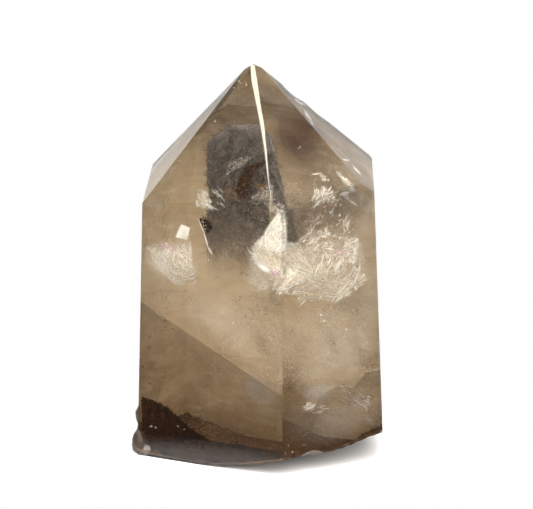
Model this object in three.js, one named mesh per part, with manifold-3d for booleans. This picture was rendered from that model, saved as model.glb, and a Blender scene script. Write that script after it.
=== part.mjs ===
// A polished point of smoky quartz: one natural crystal, ground to six tall
// sides and six top facets that meet in a tip, on the rough fracture face where
// it broke off the rock.
//
// Millimetres and degrees, +Z up. The origin is at the middle of the bounding
// box's bottom. The front looks along -Y, and +X is on its right.

import * as THREE from "three";
import Module from "manifold-3d";
import { mergeVertices } from "three/addons/utils/BufferGeometryUtils.js";

// The facets, each a plane. Azimuth turns from the front (-Y) toward +X, tilt is
// how far the facet leans up to the sky, and distance is from the stone's middle.
const MIDDLE_HEIGHT = 45;
const SIDE_FACETS = [
  { side: "front left", azimuth: -31.9, tilt: 2.3, distance: 22.6 },
  { side: "front right", azimuth: 30, tilt: 2.35, distance: 28.37 },
  { side: "right", azimuth: 88.4, tilt: 2.4, distance: 27.68 },
  { side: "back right", azimuth: 150, tilt: 2.0, distance: 18.9 },
  { side: "back left", azimuth: -150, tilt: 2.0, distance: 27.6 },
  { side: "left", azimuth: -93.4, tilt: 1.35, distance: 27.5 },
];
const TOP_FACETS = [
  { side: "front left", azimuth: -35.1, tilt: 37.5, distance: 27.72 },
  { side: "front right", azimuth: 15.9, tilt: 46.5, distance: 32.0 },
  { side: "right", azimuth: 73.7, tilt: 48.3, distance: 34.28 },
  { side: "back right", azimuth: 150, tilt: 36.5, distance: 29.3 },
  { side: "back left", azimuth: -147, tilt: 42.8, distance: 34.3 },
  { side: "left", azimuth: -81.1, tilt: 40.0, distance: 31.88 },
];

// A thin flat ground along the front ridge, from the tip down to nothing.
const RIDGE_FLAT = { side: "front ridge", azimuth: -9.7, tilt: 45.4, distance: 31.66 };

// The block that the facets are cut from, and the grid step of its rough base.
const BLOCK_WIDTH = 76;
const BLOCK_HEIGHT = 120;
const BASE_STEPS = 60;

// The base: an oval patch is ground flat so that the stone stands. Around it the
// fracture climbs, most of all toward one side.
const PATCH = { x: -3, y: 3, halfWidth: 22, halfDepth: 18 };
const CLIMB = 12.7;
const CLIMB_TOWARD = 134.7;
const CLIMB_NARROWING = 0.765;
const CLIMB_OFFSET = 0.39;

// Ripples on the fracture, in millimetres and radians per millimetre. A ridge
// wave has sharp crests. The bend keeps the crests from running straight, and
// the grain is fine unevenness on top.
const RIDGE_WAVES = [
  { height: 0.8, alongX: 0.095, alongY: 0.099, start: 2.3 },
  { height: 0.21, alongX: 0.038, alongY: -0.448, start: -1.19 },
];
const RIDGE_MIDDLE = 0.6;
const BEND = { reach: 2.4, alongX: 0.27, alongY: 0.31, startX: 1.83, startY: 0.88 };
const GRAIN = { height: 0.16, alongX: 1.3, alongY: 0.9, start: 3.21, crossX: -0.5, crossY: 0.8 };
const RIPPLE_FADE_IN = 0.25;

// Natural skin that the grinding left at the foot of the left side. It swells
// out below like a root: radius at each height.
const SKIN_CENTRE = { x: -24.6, y: -4.9 };
const SKIN_STRETCH = 1.25;
const SKIN_PROFILE = [
  [0.0, -3.0],
  [5.1, -0.8],
  [6.2, 0.6],
  [6.5, 1.6],
  [6.2, 2.4],
  [5.6, 3.6],
  [4.9, 4.8],
  [4.8, 6.2],
  [5.3, 7.6],
  [5.1, 9.3],
  [4.2, 11.5],
  [2.0, 13.0],
  [0.0, 14.0],
];
const SKIN_SIDES = 40;
const SKIN_FOLDS = { swell: 0.036, many: 9, few: 4, perHeight: 1, lean: 1.3 };
const AXIS_RADIUS = 0.01;

// Small shell-shaped chips on the edges: where each is, which way it faces, and
// how wide and deep the scoop is.
const CHIPS = [
  { on: "right ridge", x: 13.6, y: 4.2, z: 80.0, azimuth: 110, tilt: 50, reach: 3.4, depth: 0.22 },
  { on: "right ridge", x: 8.8, y: 3.7, z: 83.8, azimuth: 100, tilt: 60, reach: 1.6, depth: 0.12 },
  { on: "right shoulder", x: 26.9, y: 5.7, z: 69.1, azimuth: 105, tilt: 30, reach: 1.1, depth: 0.25 },
  { on: "left foot", x: -28.6, y: -12.2, z: 2.6, azimuth: -58, tilt: 5, reach: 4.6, depth: 1.1 },
  { on: "left foot", x: -27.4, y: -13.0, z: 0.4, azimuth: -50, tilt: -40, reach: 2.4, depth: 0.7 },
  { on: "front rim", x: 11.8, y: -27.3, z: 4.2, azimuth: 30, tilt: -50, reach: 3.0, depth: 0.7 },
  { on: "right foot", x: 28.9, y: -17.4, z: 7.0, azimuth: 60, tilt: -35, reach: 2.0, depth: 0.5 },
];
const CHIP_SEGMENTS = 14;

// Points of a shape that are nearer to each other than this are one point.
const SAME_POINT = 1e-4;

const POLISHED_STONE = { color: "#937c5e", roughness: 0.06, metalness: 0 };

const wasm = await Module();
wasm.setup();

const radians = THREE.MathUtils.degToRad;

function solidFrom(geometry) {
  geometry.deleteAttribute("normal");
  geometry.deleteAttribute("uv");
  const merged = mergeVertices(geometry, SAME_POINT);
  const vertProperties = new Float32Array(merged.attributes.position.array);
  const triVerts = new Uint32Array(merged.index.array);
  return new wasm.Manifold(new wasm.Mesh({ numProp: 3, vertProperties, triVerts }));
}

function geometryFrom(solid) {
  const mesh = solid.getMesh();
  const geometry = new THREE.BufferGeometry();
  geometry.setAttribute("position", new THREE.BufferAttribute(mesh.vertProperties, 3));
  geometry.setIndex(new THREE.BufferAttribute(mesh.triVerts, 1));
  return geometry;
}

function facetNormal({ azimuth, tilt }) {
  const level = Math.cos(radians(tilt));
  return new THREE.Vector3(
    Math.sin(radians(azimuth)) * level,
    -Math.cos(radians(azimuth)) * level,
    Math.sin(radians(tilt)),
  );
}

// Everything beyond a facet's plane, as one large box that stands on it.
function beyond(facet) {
  const size = 2 * BLOCK_HEIGHT;
  const normal = facetNormal(facet);
  const box = new THREE.BoxGeometry(size, size, size);
  box.translate(0, 0, size / 2);
  const turn = new THREE.Quaternion().setFromUnitVectors(new THREE.Vector3(0, 0, 1), normal);
  box.applyQuaternion(turn);
  const foot = normal.clone().multiplyScalar(facet.distance);
  box.translate(foot.x, foot.y, foot.z + MIDDLE_HEIGHT);
  return solidFrom(box);
}

// The ripples' height over a point of the fracture.
function rippleHeight(x, y) {
  const bentX = x + BEND.reach * Math.sin(BEND.alongY * y + BEND.startY);
  const bentY = y + BEND.reach * Math.sin(BEND.alongX * x + BEND.startX);
  const grainWave = Math.sin(GRAIN.alongX * bentX + GRAIN.alongY * bentY + GRAIN.start);
  const crossWave = Math.sin(GRAIN.crossX * bentX + GRAIN.crossY * bentY);
  let height = GRAIN.height * grainWave * crossWave;
  for (const wave of RIDGE_WAVES) {
    const phase = wave.alongX * bentX + wave.alongY * bentY + wave.start;
    height += wave.height * (RIDGE_MIDDLE - Math.abs(Math.sin(phase)));
  }
  return height;
}

// Height of the base over a point: zero on the ground patch, then a climb that
// depends on the direction, with ripples that fade in.
function baseHeight(x, y) {
  const out = Math.hypot((x - PATCH.x) / PATCH.halfWidth, (y - PATCH.y) / PATCH.halfDepth) - 1;
  if (out <= 0) return 0;
  const toward = Math.atan2(x - PATCH.x, PATCH.y - y);
  const facing = (1 + Math.cos(toward - radians(CLIMB_TOWARD))) / 2;
  const climb = out * (CLIMB * facing ** CLIMB_NARROWING - CLIMB_OFFSET);
  const fadeIn = Math.min(1, out / RIPPLE_FADE_IN);
  return Math.max(0, climb + fadeIn * rippleHeight(x, y));
}

// A tall block whose underside carries the relief of the base.
function blockOnRoughBase() {
  const block = new THREE.BoxGeometry(BLOCK_WIDTH, BLOCK_WIDTH, BLOCK_HEIGHT, BASE_STEPS, BASE_STEPS, 1);
  block.translate(0, 0, BLOCK_HEIGHT / 2);
  const points = block.attributes.position;
  for (let i = 0; i < points.count; i += 1) {
    if (points.getZ(i) < BLOCK_HEIGHT / 2) {
      points.setZ(i, baseHeight(points.getX(i), points.getY(i)));
    }
  }
  return solidFrom(block);
}

// The skin at the foot: a turned profile, stretched along the side, with folds
// that run up it.
function skinAtTheFoot() {
  const profile = SKIN_PROFILE.map(([radius, height]) => new THREE.Vector2(radius, height));
  const lump = new THREE.LatheGeometry(profile, SKIN_SIDES);
  lump.rotateX(Math.PI / 2);
  const points = lump.attributes.position;
  const point = new THREE.Vector3();
  for (let i = 0; i < points.count; i += 1) {
    point.fromBufferAttribute(points, i);
    const around = Math.atan2(point.y, point.x);
    const manyFolds = Math.sin(SKIN_FOLDS.many * around + SKIN_FOLDS.perHeight * point.z);
    const fewFolds = Math.sin(SKIN_FOLDS.few * around - SKIN_FOLDS.lean * point.z);
    const offAxis = Math.hypot(point.x, point.y) > AXIS_RADIUS;
    const swell = offAxis ? 1 + SKIN_FOLDS.swell * (manyFolds + fewFolds) : 1;
    points.setXYZ(
      i,
      SKIN_CENTRE.x + point.x * swell,
      SKIN_CENTRE.y + point.y * swell * SKIN_STRETCH,
      point.z,
    );
  }
  return solidFrom(lump);
}

// A ball that bites into an edge as deep as the chip, and as wide as its reach.
function chipScoop(chip) {
  const { x, y, z, reach, depth } = chip;
  const radius = (reach * reach + depth * depth) / (2 * depth);
  const outward = facetNormal(chip);
  const ball = new THREE.SphereGeometry(radius, CHIP_SEGMENTS * 2, CHIP_SEGMENTS);
  const lift = radius - depth;
  ball.translate(x + outward.x * lift, y + outward.y * lift, z + outward.z * lift);
  return solidFrom(ball);
}

function towerSolid() {
  let stone = solidFrom(new THREE.BoxGeometry(BLOCK_WIDTH, BLOCK_WIDTH, 2 * BLOCK_HEIGHT));
  for (const facet of [...SIDE_FACETS, ...TOP_FACETS, RIDGE_FLAT]) {
    stone = stone.subtract(beyond(facet));
  }
  for (const chip of CHIPS) {
    stone = stone.subtract(chipScoop(chip));
  }
  return stone.add(skinAtTheFoot()).intersect(blockOnRoughBase());
}

function quartzTower() {
  const geometry = geometryFrom(towerSolid());
  geometry.computeBoundingBox();
  const centre = geometry.boundingBox.getCenter(new THREE.Vector3());
  const tower = new THREE.Mesh(geometry, new THREE.MeshStandardMaterial(POLISHED_STONE));
  tower.name = "quartz_tower";
  tower.position.set(-centre.x, -centre.y, -geometry.boundingBox.min.z);
  return tower;
}

const object = new THREE.Group();
object.add(quartzTower());

export default object;
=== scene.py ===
# %% [markdown]
# A smoky quartz tower with a ghost inside
#
# The real thing is one quartz crystal, ground flat on its facets and left broken
# at its foot. What makes it worth looking at is sealed inside: a dusty ghost of
# the crystal's younger self, silvery healed cracks, haze and a dark root. The
# outer shape is already settled in millimetres by the CAD model, so this file
# loads that model first and builds every look around it.

# %% Load the stone and keep its size
import math

import bmesh
import bpy
import numpy as np
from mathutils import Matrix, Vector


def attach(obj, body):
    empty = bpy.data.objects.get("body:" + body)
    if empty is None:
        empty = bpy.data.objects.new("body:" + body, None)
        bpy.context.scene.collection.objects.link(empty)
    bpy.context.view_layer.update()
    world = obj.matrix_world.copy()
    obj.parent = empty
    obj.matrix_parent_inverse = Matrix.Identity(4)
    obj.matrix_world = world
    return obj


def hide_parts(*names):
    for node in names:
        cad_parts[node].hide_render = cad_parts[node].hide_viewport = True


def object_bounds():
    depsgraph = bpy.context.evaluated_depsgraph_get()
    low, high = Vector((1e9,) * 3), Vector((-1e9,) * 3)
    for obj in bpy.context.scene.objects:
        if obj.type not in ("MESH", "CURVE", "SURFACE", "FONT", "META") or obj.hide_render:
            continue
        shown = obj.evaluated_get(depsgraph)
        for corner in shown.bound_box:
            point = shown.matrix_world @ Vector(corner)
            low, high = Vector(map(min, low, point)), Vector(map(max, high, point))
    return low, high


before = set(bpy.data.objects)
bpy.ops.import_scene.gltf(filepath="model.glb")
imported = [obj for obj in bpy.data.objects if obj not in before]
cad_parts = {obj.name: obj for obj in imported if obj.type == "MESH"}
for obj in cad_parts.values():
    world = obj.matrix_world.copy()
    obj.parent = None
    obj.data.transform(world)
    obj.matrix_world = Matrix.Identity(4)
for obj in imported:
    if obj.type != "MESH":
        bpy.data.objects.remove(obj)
cad_low, cad_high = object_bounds()
MM = 0.001
cad_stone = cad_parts["quartz_tower"]
print("the stone is", [round(v / MM, 1) for v in cad_high - cad_low], "mm")

# %% [markdown]
# Small helpers
#
# Colours are written as hex values, as a painter reads them off a chart, and one
# function turns them to the linear light that Blender reckons in. Another adds a
# shader node with its settings and its links, so that a material reads as a short
# list of nodes. A third turns a part, which is arrays of points and faces, into a
# piece that rides on the stone.


# %% Helpers for colour and nodes
SMOOTH = {"interpolation_type": "SMOOTHSTEP"}
COLOUR_MIX = {"data_type": "RGBA"}
CLEAR = (1.0, 1.0, 1.0, 1.0)


def linear(hex_code):
    """A hex colour as linear light: each channel is undone from the sRGB curve."""
    channels = [int(hex_code[i : i + 2], 16) / 255 for i in (1, 3, 5)]
    light = [c / 12.92 if c <= 0.04045 else ((c + 0.055) / 1.055) ** 2.4 for c in channels]
    return (*light, 1.0)


def add_node(tree, kind, settings=None, inputs=None):
    """Adds one node: settings are its own properties, inputs are values or sockets to link."""
    made = tree.nodes.new(kind)
    for name, value in (settings or {}).items():
        setattr(made, name, value)
    for name, value in (inputs or {}).items():
        if isinstance(value, bpy.types.NodeSocket):
            tree.links.new(value, made.inputs[name])
        else:
            made.inputs[name].default_value = value
    return made


def new_material(name):
    """An empty material with its node tree and its output node."""
    material = bpy.data.materials.new(name)
    material.use_nodes = True
    material.node_tree.nodes.clear()
    output = add_node(material.node_tree, "ShaderNodeOutputMaterial")
    return material, material.node_tree, output


print("warm white is", [round(c, 2) for c in linear("#fffaf0")], "in linear light")


# %% Helpers for pieces and arrays
def new_piece(name, part, material):
    """A mesh piece from a part: points (n, 3) in millimetres, faces (m, k) of point numbers,
    and for a film also uv (n, 2), the place of each point across the film."""
    points, faces, *film_uv = part
    mesh = bpy.data.meshes.new(name)
    mesh.vertices.add(len(points))
    mesh.vertices.foreach_set("co", (points * MM).astype(np.float32).ravel())
    mesh.loops.add(faces.size)
    mesh.loops.foreach_set("vertex_index", faces.astype(np.int32).ravel())
    mesh.polygons.add(len(faces))
    starts = np.arange(0, faces.size, faces.shape[1], dtype=np.int32)
    mesh.polygons.foreach_set("loop_start", starts)
    for uv in film_uv:
        layer = mesh.uv_layers.new(name="sheet")
        layer.data.foreach_set("uv", uv[faces.ravel()].astype(np.float32).ravel())
    mesh.update(calc_edges=True)
    mesh.materials.append(material)
    piece = bpy.data.objects.new(name, mesh)
    bpy.context.scene.collection.objects.link(piece)
    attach(piece, "root")
    print(name, "has", len(faces), "faces")
    return piece


def read_array(items, name, width, kind=np.float32):
    """One property of all of a mesh's points or faces, as rows of width numbers."""
    values = np.empty(len(items) * width, kind)
    items.foreach_get(name, values)
    return values.reshape(-1, width)


def smooth_step(start, end, value):
    """0 at start, 1 at end, and an even S-curve between. Start may be the higher one."""
    t = np.clip((value - start) / (end - start), 0, 1)
    return t * t * (3 - 2 * t)


def unit(vectors):
    """Vectors scaled to length one."""
    return vectors / np.linalg.norm(vectors, axis=-1, keepdims=True)


print("halfway up the S-curve:", smooth_step(0, 1, 0.5))

# %% [markdown]
# Where the camera stands
#
# The facets' edges in the picture give the viewpoint away: ten degrees above the
# stone, a little over half a metre off, with a long lens. The camera could be moved
# by eye until the outlines agree, but an angle that is worked out from the edges
# stays exact. It is made first.

# %% Camera
IMAGE_SIZE = np.array([533.0, 509.0])
CAMERA_AIM = np.array([0.74, 1.63, 44.29])
CAMERA_DISTANCE = 578.6
CAMERA_DROP = math.radians(10.0)
AIM_PIXEL = np.array([260.0, 264.0])
FOCAL_PIXELS = 2412.2
SENSOR_WIDTH = 36.0

camera_data = bpy.data.cameras.new("camera")
camera_data.sensor_width = SENSOR_WIDTH
camera_data.lens = SENSOR_WIDTH * FOCAL_PIXELS / IMAGE_SIZE[0]
camera_data.clip_start = 0.01
camera_data.clip_end = 20.0
camera = bpy.data.objects.new("camera", camera_data)
bpy.context.scene.collection.objects.link(camera)
away = np.array([0, -math.cos(CAMERA_DROP), math.sin(CAMERA_DROP)])
EYE = CAMERA_AIM + CAMERA_DISTANCE * away
turn, lift = np.arctan((IMAGE_SIZE / 2 - AIM_PIXEL) / FOCAL_PIXELS)
camera.location = EYE * MM
camera.rotation_euler = (math.pi / 2 - CAMERA_DROP - lift, 0.0, -turn)
bpy.context.scene.camera = camera
bpy.context.view_layer.update()
CAMERA_TURN = np.array(camera.matrix_world.to_3x3())
print("lens", round(camera_data.lens, 1), "mm")

# %% [markdown]
# The stone's body
#
# The CAD mesh is loose triangles. A merged copy of it becomes the visible stone:
# points that coincide are joined, and coplanar triangles turn back into whole
# facets. Small faces are where the surface is natural and rough, and large ones
# are where it was ground and polished, so the area of a face tells the two apart.
# The facets could be cut again here from their planes, but a copy can't drift away
# from the CAD model.

# %% Body of the stone
POLISHED_FACE_AREA = 12 * MM * MM
WELD_DISTANCE = 0.002 * MM
FLAT_WITHIN = math.radians(0.3)


def stone_body():
    """A merged copy of the CAD stone with whole facets and the face attribute natural."""
    mesh = cad_stone.data.copy()
    mesh.name = "quartz_body"
    shape = bmesh.new()
    shape.from_mesh(mesh)
    bmesh.ops.remove_doubles(shape, verts=shape.verts, dist=WELD_DISTANCE)
    bmesh.ops.dissolve_limit(shape, angle_limit=FLAT_WITHIN, verts=shape.verts, edges=shape.edges)
    natural = shape.faces.layers.float.new("natural")
    for face in shape.faces:
        face[natural] = 0.0 if face.calc_area() > POLISHED_FACE_AREA else 1.0
        face.smooth = False
    shape.to_mesh(mesh)
    shape.free()
    stone = bpy.data.objects.new("quartz_body", mesh)
    bpy.context.scene.collection.objects.link(stone)
    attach(stone, "root")
    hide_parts("quartz_tower")
    return stone


body = stone_body()
print("the body has", len(body.data.polygons), "faces")

# %% Facets
# Each facet is found by the way it looks: azimuth from the front toward the right,
# and tilt up to the sky, in degrees.
FACET_LOOKS = {
    "front left": (-32, 2),
    "front right": (30, 2),
    "right": (88, 2),
    "back right": (150, 2),
    "back left": (-150, 2),
    "left": (-93, 2),
    "top front left": (-35, 38),
    "top front right": (16, 46),
    "top right": (74, 48),
    "top back right": (150, 36),
    "top back left": (-147, 43),
    "top left": (-81, 40),
    "front ridge": (-10, 45),
}
face_normals = read_array(body.data.polygons, "normal", 3)
face_centres = read_array(body.data.polygons, "center", 3) / MM
large = read_array(body.data.polygons, "area", 1)[:, 0] > POLISHED_FACE_AREA


def facet(azimuth, tilt):
    """The large face that looks most nearly that way: its normal and its distance from the origin."""
    a, t = math.radians(azimuth), math.radians(tilt)
    look = np.array([math.sin(a) * math.cos(t), -math.cos(a) * math.cos(t), math.sin(t)])
    number = np.argmax(np.where(large, face_normals @ look, -1))
    normal = face_normals[number].astype(float)
    return normal, float(normal @ face_centres[number])


FACETS = {name: facet(*look) for name, look in FACET_LOOKS.items()}
FRONT_LEFT = FACETS["front left"]
FRONT_RIGHT = FACETS["front right"]
TOP_FRONT_LEFT = FACETS["top front left"]
TOP_FRONT_RIGHT = FACETS["top front right"]
TOP_RIGHT = FACETS["top right"]
for name, (normal, distance) in FACETS.items():
    print(name, "looks along", normal.round(2), "at", round(distance, 2), "mm")

# %% [markdown]
# Lines of sight that bend
#
# What is sealed in the stone shows through a facet, and quartz bends the light
# there. So a spot in the picture doesn't fix a point in the stone, only a line:
# straight to the facet, then bent toward its normal by Snell's law. How deep the
# spot lies on that line is the maker's choice. A few things could be pushed about
# by hand until they look right, but there are thousands here, so these functions
# follow such lines for whole arrays of picture positions at once.

# %% Lines of sight
QUARTZ_IOR = 1.544


def sight(pixels, through):
    """Where lines of sight meet a facet's plane, and the direction each takes inside."""
    normal, distance = through
    pixels = np.asarray(pixels, float).reshape(-1, 2)
    across, down = ((pixels - IMAGE_SIZE / 2) / FOCAL_PIXELS).T
    step = unit(np.column_stack([across, -down, -np.ones(len(pixels))]) @ CAMERA_TURN.T)
    reach = (distance - EYE @ normal) / (step @ normal)
    entry = EYE + reach[:, None] * step
    cosine = -(step @ normal)[:, None]
    straight_on = cosine / QUARTZ_IOR - np.sqrt(1 - (1 - cosine**2) / QUARTZ_IOR**2)
    return entry, unit(step / QUARTZ_IOR + straight_on * normal)


def sunk(pixels, depth, through):
    """Points in the stone that show at these picture positions, depth millimetres behind the facet."""
    entry, bent = sight(pixels, through)
    return entry + np.broadcast_to(depth, len(entry))[:, None] * bent


print("the camera's aim, 1 mm deep:", sunk(AIM_PIXEL, 1.0, FRONT_LEFT).round(1))

# %% [markdown]
# Staying inside the stone
#
# Nothing sealed in the stone may poke out of it. The facets are planes, so that
# test is simple, but the broken base is a relief. A map of how high the base
# climbs, read off the mesh in cells of little more than a millimetre, answers for
# the foot. Single flecks that would poke out are left out. A film is drawn in
# instead, so that it keeps its shape and gets no ragged rim.

# %% Test for a point inside the stone
MAP_CELL = 1.3
MAP_REACH = 31
FOOT_HEIGHT = 16.0


def map_cells(points):
    """The map's row and column numbers for each point."""
    cells = np.round(points[:, :2] / MAP_CELL).astype(int) + MAP_REACH
    return tuple(np.clip(cells, 0, 2 * MAP_REACH).T)


def base_height_map():
    """The highest base point in each cell of a square map, or in the cells round it."""
    points = read_array(body.data.vertices, "co", 3) / MM
    low = points[points[:, 2] < FOOT_HEIGHT]
    rows, columns = map_cells(low)
    heights = np.zeros((2 * MAP_REACH + 1, 2 * MAP_REACH + 1))
    for step_x in (-1, 0, 1):
        for step_y in (-1, 0, 1):
            np.maximum.at(heights, (rows + step_x, columns + step_y), low[:, 2])
    return heights


BASE_HEIGHTS = base_height_map()
print("the base climbs to", round(BASE_HEIGHTS.max(), 1), "mm")


def inside(points, margin):
    """True for each point that is at least margin millimetres inside the stone."""
    good = points[:, 2] > BASE_HEIGHTS[map_cells(points)] + margin
    for normal, distance in FACETS.values():
        good &= points @ normal < distance - margin
    return good


# %% Moving a film inside the stone
FILM_MARGIN = 0.15
BASE_GAP = 0.02
ROUNDS = 8


def drawn_inside(points, margin):
    """Points moved straight in, facet by facet, until each is margin millimetres inside them all.
    A few rounds settle the points near an edge, where one facet's move undoes another's."""
    points = points.copy()
    for _ in range(ROUNDS):
        for normal, distance in FACETS.values():
            over = points @ normal - distance + margin
            points -= np.maximum(over, 0)[:, None] * normal
    return points


def settled(points, margin=FILM_MARGIN):
    """Points drawn inside all facets, and lifted off the rough base where they would go through it."""
    points = drawn_inside(points, margin)
    lowest = BASE_HEIGHTS[map_cells(points)] + margin + BASE_GAP
    points[:, 2] = np.maximum(points[:, 2], lowest)
    return points


def kept_inside(part, margin=FILM_MARGIN):
    """A part without the faces that reach out of the stone, or nearer to its skin than the margin."""
    points, faces, uv = part
    faces = faces[inside(points, margin)[faces].all(axis=1)]
    used, numbers = np.unique(faces, return_inverse=True)
    return points[used], numbers.reshape(faces.shape), uv[used]


far_out = np.array([[0.0, 0.0, 120.0]])
print("a point over the tip is drawn in to", settled(far_out).round(1))

# %% [markdown]
# Quartz
#
# Quartz bends light by 1.544. Its smoke is a trace of aluminium that natural
# radiation darkened, so the colour is in the depth of the stone and not on its
# face: an absorption that grows with every millimetre. Red passes best and blue
# worst, which turns white light to tan. A brown surface would be simpler, but then
# a thin edge would be as dark as the thick middle. Where the surface is natural it
# is rough and pitted instead of polished.

# %% Quartz material
SMOKE_TINT = (0.77, 0.685, 0.52, 1.0)
SMOKE_DENSITY = 25.0
POLISHED_ROUGHNESS = 0.02
BROKEN_ROUGHNESS = 0.4


def quartz_material():
    """Clear smoky quartz, polished where the attribute natural is 0 and broken where it is 1."""
    material, tree, output = new_material("polished_smoky_quartz")
    natural = add_node(tree, "ShaderNodeAttribute", {"attribute_name": "natural"})
    finish = {"Value": natural.outputs["Fac"], "To Min": POLISHED_ROUGHNESS, "To Max": BROKEN_ROUGHNESS}
    roughness = add_node(tree, "ShaderNodeMapRange", {}, finish)
    clear_stone = {
        "Base Color": CLEAR,
        "Roughness": roughness.outputs["Result"],
        "IOR": QUARTZ_IOR,
        "Transmission Weight": 1.0,
    }
    surface = add_node(tree, "ShaderNodeBsdfPrincipled", {}, clear_stone)
    colour = {"Color": SMOKE_TINT, "Density": SMOKE_DENSITY}
    smoke = add_node(tree, "ShaderNodeVolumeAbsorption", {}, colour)
    tree.links.new(surface.outputs["BSDF"], output.inputs["Surface"])
    tree.links.new(smoke.outputs["Volume"], output.inputs["Volume"])
    return material


body.data.materials.clear()
body.data.materials.append(quartz_material())
passed = [round(math.exp(-SMOKE_DENSITY * (1 - tint) * 10 * MM), 2) for tint in SMOKE_TINT[:3]]
print("ten millimetres of quartz let through", passed, "of red, green and blue")

# %% [markdown]
# Dust as flecks
#
# Dust and haze are too fine to model grain by grain, so they are drawn coarser, as
# tens of thousands of flecks: small triangles turned at random. A cloudy volume
# could show them too, but it is slow and grainy to render, and an exported model
# loses it. Flecks are placed by picture outline and depth, and random numbers come
# from one seeded source, so that every run gives the same stone.

# %% Flecks
rng = np.random.default_rng(7)
FLECK_CORNERS = np.array([0, 2.1, 4.2])
FLECK_SHIFT = 0.5
FLECK_REACH = (0.6, 1.2)


def flecks(centres, sizes):
    """One small triangle round each centre, turned at random. Its corners lie on a circle, a
    third of a turn apart, each moved a little along the circle and in or out."""
    normal = unit(rng.normal(size=(len(centres), 3)))
    side = unit(np.cross(normal, rng.normal(size=(len(centres), 3))))
    other = np.cross(normal, side)
    angles = FLECK_CORNERS + rng.uniform(-FLECK_SHIFT, FLECK_SHIFT, (len(centres), 3))
    reach = sizes[:, None] * rng.uniform(*FLECK_REACH, (len(centres), 3))
    turned = np.cos(angles)[..., None] * side[:, None, :]
    turned = turned + np.sin(angles)[..., None] * other[:, None, :]
    points = centres[:, None, :] + reach[..., None] * turned
    return points.reshape(-1, 3), np.arange(3 * len(centres)).reshape(-1, 3)


def fleck_piece(name, centres, sizes, material):
    """A piece with a fleck round each centre, of a random size between two."""
    reach = rng.uniform(*sizes, len(centres))
    return new_piece(name, flecks(centres, reach), material)


print("a fleck's corners are", np.degrees(FLECK_CORNERS).round(), "degrees round")


# %% Patches of flecks
DUST_MARGIN = 0.5


def in_outline(spots, outline):
    """True for each spot that an outline encloses: a line straight up from such a spot
    crosses the rim an odd number of times."""
    a = np.asarray(outline, float)
    b = np.roll(a, -1, axis=0)
    x, y = spots[:, :1], spots[:, 1:]
    spans = (a[:, 0] > x) != (b[:, 0] > x)
    run = np.where(a[:, 0] == b[:, 0], 1.0, b[:, 0] - a[:, 0])
    crossing = a[:, 1] + (x - a[:, 0]) * (b[:, 1] - a[:, 1]) / run
    return (spans & (y < crossing)).sum(axis=1) % 2 == 1


def spots_within(outline, count):
    """Random picture positions in the box round an outline, kept where the outline holds them."""
    outline = np.asarray(outline, float)
    spots = rng.uniform(outline.min(axis=0), outline.max(axis=0), (count, 2))
    return spots[in_outline(spots, outline)]


def patch(through, depths, count, outline, blur):
    """Random points that show in a picture outline, blurred, between two depths behind a facet."""
    spots = spots_within(outline, count)
    spots += rng.normal(scale=blur, size=spots.shape)
    points = sunk(spots, rng.uniform(*depths, len(spots)), through)
    return points[inside(points, DUST_MARGIN)]


def dust_piece(name, patches, material, sizes, blur):
    """The flecks of several patches as one piece."""
    return fleck_piece(name, np.concatenate([patch(*row, blur) for row in patches]), sizes, material)


square = [(0, 0), (4, 0), (4, 4), (0, 4)]
print("spots in and out of a square:", in_outline(np.array([[2.0, 2.0], [6.0, 2.0]]), square))

# %% [markdown]
# Cracks as feathers, films as sheets
#
# Healed cracks are feathers: thin curved blades with pointed ends. Wider films are
# sheets, soft at their rim. A drawing of the cracks on a flat card would be quicker,
# but from the side it would shrink to a line. So both are grids of two parameters,
# along and across, that are placed in the picture first and then sunk into the
# stone, each at its own depth.

# %% Feathers
FEATHER_STEPS = 9
FEATHER_TIP = 0.06
FEATHER_TWIST = 0.35
FEATHER_LEAN = 0.6


def feathers(centres, angles, lengths, widths, bends, depths, through, lean=FEATHER_LEAN, place=sunk):
    """Blades by picture position, in pixels and degrees. Each runs along its angle, bends
    aside with the square of the way along, and narrows to both ends. It dips along its
    length by lean, and its two rims lie at different depths, so that it catches light."""
    way = np.linspace(-1, 1, FEATHER_STEPS)
    turned = np.radians(np.asarray(angles, float))
    along = np.column_stack([np.cos(turned), -np.sin(turned)])[:, None, :]
    aside = np.column_stack([np.sin(turned), np.cos(turned)])[:, None, :]
    length = np.asarray(lengths, float)[:, None, None]
    bend = np.asarray(bends, float)[:, None, None]
    width = np.asarray(widths, float)[:, None, None]
    half = 0.5 * width * (1 + FEATHER_TIP - way**2)[None, :, None]
    middle = np.asarray(centres, float)[:, None, :] + 0.5 * length * way[:, None] * along
    middle = middle + bend * (way**2)[:, None] * aside
    rims = np.stack([middle - half * aside, middle + half * aside], axis=2)
    depth = np.broadcast_to(depths, len(rims))[:, None, None] + lean * way[None, :, None]
    depth = depth + FEATHER_TWIST * half * np.array([-1.0, 1.0])
    points = place(rims.reshape(-1, 2), depth.ravel(), through)
    u, v = np.broadcast_arrays((way[:, None] + 1) / 2, np.array([0.0, 1.0]))
    uv = np.tile(np.stack([u, v], -1).reshape(-1, 2), (len(rims), 1))
    blade = np.arange(len(rims))[:, None] * 2 * FEATHER_STEPS
    first = (blade + 2 * np.arange(FEATHER_STEPS - 1)[None, :])[..., None]
    return points, (first + np.array([0, 1, 3, 2])).reshape(-1, 4), uv


def single_feathers(through, depth, rows, lean=FEATHER_LEAN):
    """Feathers one by one. Each row says across, down, angle, length, width and bend."""
    across, down, angles, lengths, widths, bends = np.array(rows, float).T
    spots = np.column_stack([across, down])
    return feathers(spots, angles, lengths, widths, bends, depth, through, lean)


def joined(parts):
    """Several (points, faces, uv) parts as one."""
    points, faces, uv = zip(*parts)
    starts = np.cumsum([0] + [len(some) for some in points[:-1]])
    faces = [some + start for some, start in zip(faces, starts)]
    return np.concatenate(points), np.concatenate(faces), np.concatenate(uv)


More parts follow.
